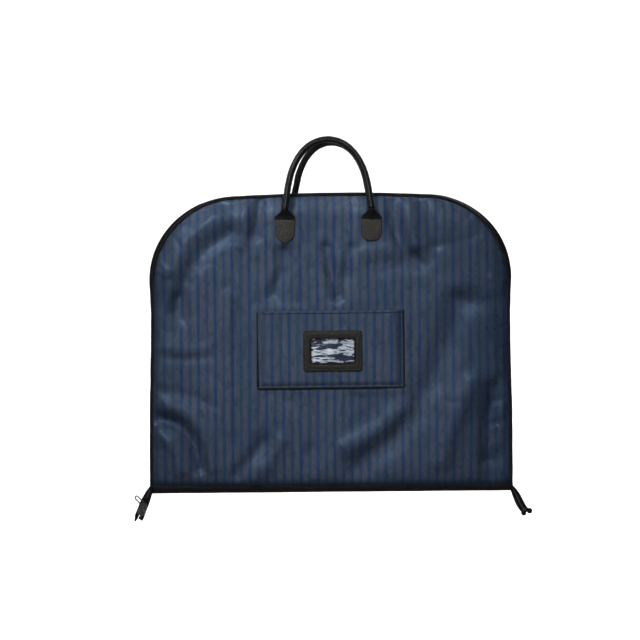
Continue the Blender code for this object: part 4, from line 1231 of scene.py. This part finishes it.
# ---------------------------------------------------------------- straps inside the back half
STRAP_DRAWN = (0.0, 0.005, 0.010, 0.015, 0.020)  # ways that the buckle's strap slides over the lining
HANGER_ROUTE = MM * np.array([(18, -118), (18, -145), (18, -170), (16.5, -179), (9, -179.6)])  # (y, z)
FLAP_ROUTE = MM * np.array([
    (8.4, -177.5), (8.4, -162), (10, -156.5), (13.6, -151), (15.8, -147), (15.8, -136),
])


def build_webbing(name, material, line, side, ups, half, body, node):
    """Flat webbing with rounded edges along a line."""
    rings = [section_ring(middle, side, up, half, 0.0008, 28, 5.0) for middle, up in zip(line, ups)]
    settle(Shape().loft(rings).piece(name, material), body, "black_tape", node)


def build_hanger(name, route, body, node):
    """Webbing of the hanger's loop, along a (y, z) route."""
    y, z = respaced(catmull_rom(route, 8), 0.002).T
    line = np.stack([0 * y, y, z], axis=1)
    side = np.array([1.0, 0.0, 0.0])
    build_webbing(name, TAPE, line, side, np.cross(side, tangents(line)), 0.0125, body, node)


def build_strap(name, node, body, drawn):
    """One side of the garment strap, lying across the lining and clear of it wherever it is drawn to."""
    low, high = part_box(node)
    middle = (low + high) / 2
    half = (high.z - low.z) / 2
    steps = round((high.x - low.x) / 0.004)
    xs = np.linspace(low.x, high.x, steps + 1)
    edges = []
    for dz in (-0.0125, -0.006, 0.0, 0.006, 0.0125):
        edges.extend(lining_face(xs - dx, np.full(steps + 1, middle.z + dz), BACK) for dx in drawn)
    depths = np.pad(np.minimum(np.min(edges, axis=0) - 0.0014, middle.y), 4, mode="edge")
    depths = np.min([depths[k : k + steps + 1] for k in range(9)], axis=0)
    depths = np.convolve(np.pad(depths, 4, mode="edge"), np.ones(9) / 9, mode="valid")
    sway = 0.0004 * np.sin(5 * math.pi * np.arange(steps + 1) / steps)
    line = np.stack([xs, depths, middle.z + sway], axis=1)
    build_webbing(name, WEBBING, line, np.array([0.0, 0.0, 1.0]), [BACKWARD] * len(line), half, body, node)


for half_side in (BACK, FRONT):
    build_cloth(half_side)
    build_binding(half_side)
    build_zip(half_side)
build_fold()
build_handle(FRONT, FRONT_HANDLE_X)
build_handle(BACK, REAR_HANDLE_X, 0.915, 0.0040, 0.0018)
build_patches(FRONT, FRONT_HANDLE_X)
build_patches(BACK, REAR_HANDLE_X)
build_pocket()
build_name_window()
build_left_tail()
build_right_tail()
build_pull()
build_strap("strap_left_webbing", "garment_strap_left", "buckle", STRAP_DRAWN)
build_strap("strap_right_webbing", "garment_strap_right", "back_half", (0.0,))
build_hanger("hanger_loop_webbing", HANGER_ROUTE, "back_half", "hanger_loop")
build_hanger("hanger_flap_webbing", FLAP_ROUTE, "hanger_clasp", "hanger_flap")
soften("zip_slider", DARK_METAL, 0.0005)
soften("zip_bottom_stop", DARK_METAL, 0.0004)
soften("hanger_snap", NICKEL, 0.0005)
soften("buckle_socket", PLASTIC, 0.0012)
soften("buckle_tongue", PLASTIC, 0.0010)


# ---------------------------------------------------------------- stage, light and camera
FLOOR_Z = -1.32
BOWL_FLOOR = 3.1
BOWL_BEND = 1.2
BOWL_TOP = 1.9
BOWL_TURNS = 96


def build_stage():
    """A round pale studio: a flat floor that curves up into a wall."""
    profile = [(0.02, FLOOR_Z)] + [(BOWL_FLOOR * k / 6, FLOOR_Z) for k in range(1, 7)]
    for k in range(1, 13):
        angle = math.pi / 2 * k / 12
        rise = BOWL_BEND * (1 - math.cos(angle))
        profile.append((BOWL_FLOOR + BOWL_BEND * math.sin(angle), FLOOR_Z + rise))
    profile.append((BOWL_FLOOR + BOWL_BEND, BOWL_TOP))
    points = []
    for radius, z in profile:
        for angle in 2 * math.pi * np.arange(BOWL_TURNS) / BOWL_TURNS:
            points.append((radius * math.cos(angle), radius * math.sin(angle), z))
    faces = grid_faces(len(profile), BOWL_TURNS, wrap=True) + [tuple(range(BOWL_TURNS))]
    make_piece("studio_floor", points, faces, studio_white("studio_white"), outward=True)


def area_light(name, at, target, size, power, spread, colour=(1.0, 1.0, 1.0)):
    data = bpy.data.lights.new(name, "AREA")
    data.spread = math.radians(spread)
    data.shape = "RECTANGLE"
    data.size, data.size_y = size
    data.energy = power
    data.color = colour
    item = bpy.data.objects.new(name, data)
    item.location = at
    item.rotation_euler = (Vector(target) - Vector(at)).to_track_quat("-Z", "Y").to_euler()
    item.visible_camera = False
    bpy.context.scene.collection.objects.link(item)


WARM = (1.0, 0.985, 0.955)
COOL = (0.88, 0.94, 1.0)
build_stage()
area_light("key", (-0.95, -1.4, 1.15), (-0.03, 0, -0.27), (0.45, 0.45), 3.15, 44, WARM)
area_light("second_key", (0.55, -1.4, 1.25), (-0.03, 0, -0.27), (0.45, 0.45), 0.95, 44, WARM)
area_light("fill", (-0.3, -2.8, -0.1), (-0.05, 0, -0.45), (0.8, 0.8), 0.25, 50, COOL)
area_light("wall_left", (-1.5, 1.3, 1.0), (-0.6, 4.3, -0.1), (1.2, 1.2), 33, 100)
area_light("wall_right", (1.5, 1.3, 1.0), (0.6, 4.3, -0.1), (1.2, 1.2), 33, 100)
area_light("wall_front", (0.0, -0.6, 2.1), (0.0, -4.3, -0.2), (2.4, 0.8), 26, 135)
area_light("floor_front", (0.0, -1.9, 1.8), (0.0, -2.5, -1.3), (2.4, 0.8), 17, 115)
area_light("floor", (0.0, 2.5, 1.6), (0.0, 3.1, -1.2), (2.6, 1.2), 26, 85)
area_light("rear_key", (1.0, 1.6, 1.3), (0, 0, -0.30), (0.8, 0.6), 5, 60)

world = bpy.data.worlds.new("studio_air")
world.use_nodes = True
air = world.node_tree.nodes["Background"]
air.inputs["Color"].default_value = (0.80, 0.90, 1.0, 1.0)
air.inputs["Strength"].default_value = 0.07
bpy.context.scene.world = world

VIEW_MIDDLE = (-0.0174, -0.2895)
VIEW_WIDTH = 1.0608
VIEW_DISTANCE = 3.0
CAMERA_TURN = Matrix.Rotation(math.radians(0.3), 3, "Y") @ Matrix.Rotation(math.radians(90), 3, "X")
camera_data = bpy.data.cameras.new("camera")
camera_data.sensor_width = 36.0
camera_data.lens = camera_data.sensor_width * VIEW_DISTANCE / VIEW_WIDTH
camera = bpy.data.objects.new("camera", camera_data)
camera.location = (VIEW_MIDDLE[0], -VIEW_DISTANCE, VIEW_MIDDLE[1])
camera.rotation_euler = CAMERA_TURN.to_euler()
bpy.context.scene.collection.objects.link(camera)
bpy.context.scene.camera = camera
bpy.context.scene.view_settings.view_transform = "Standard"
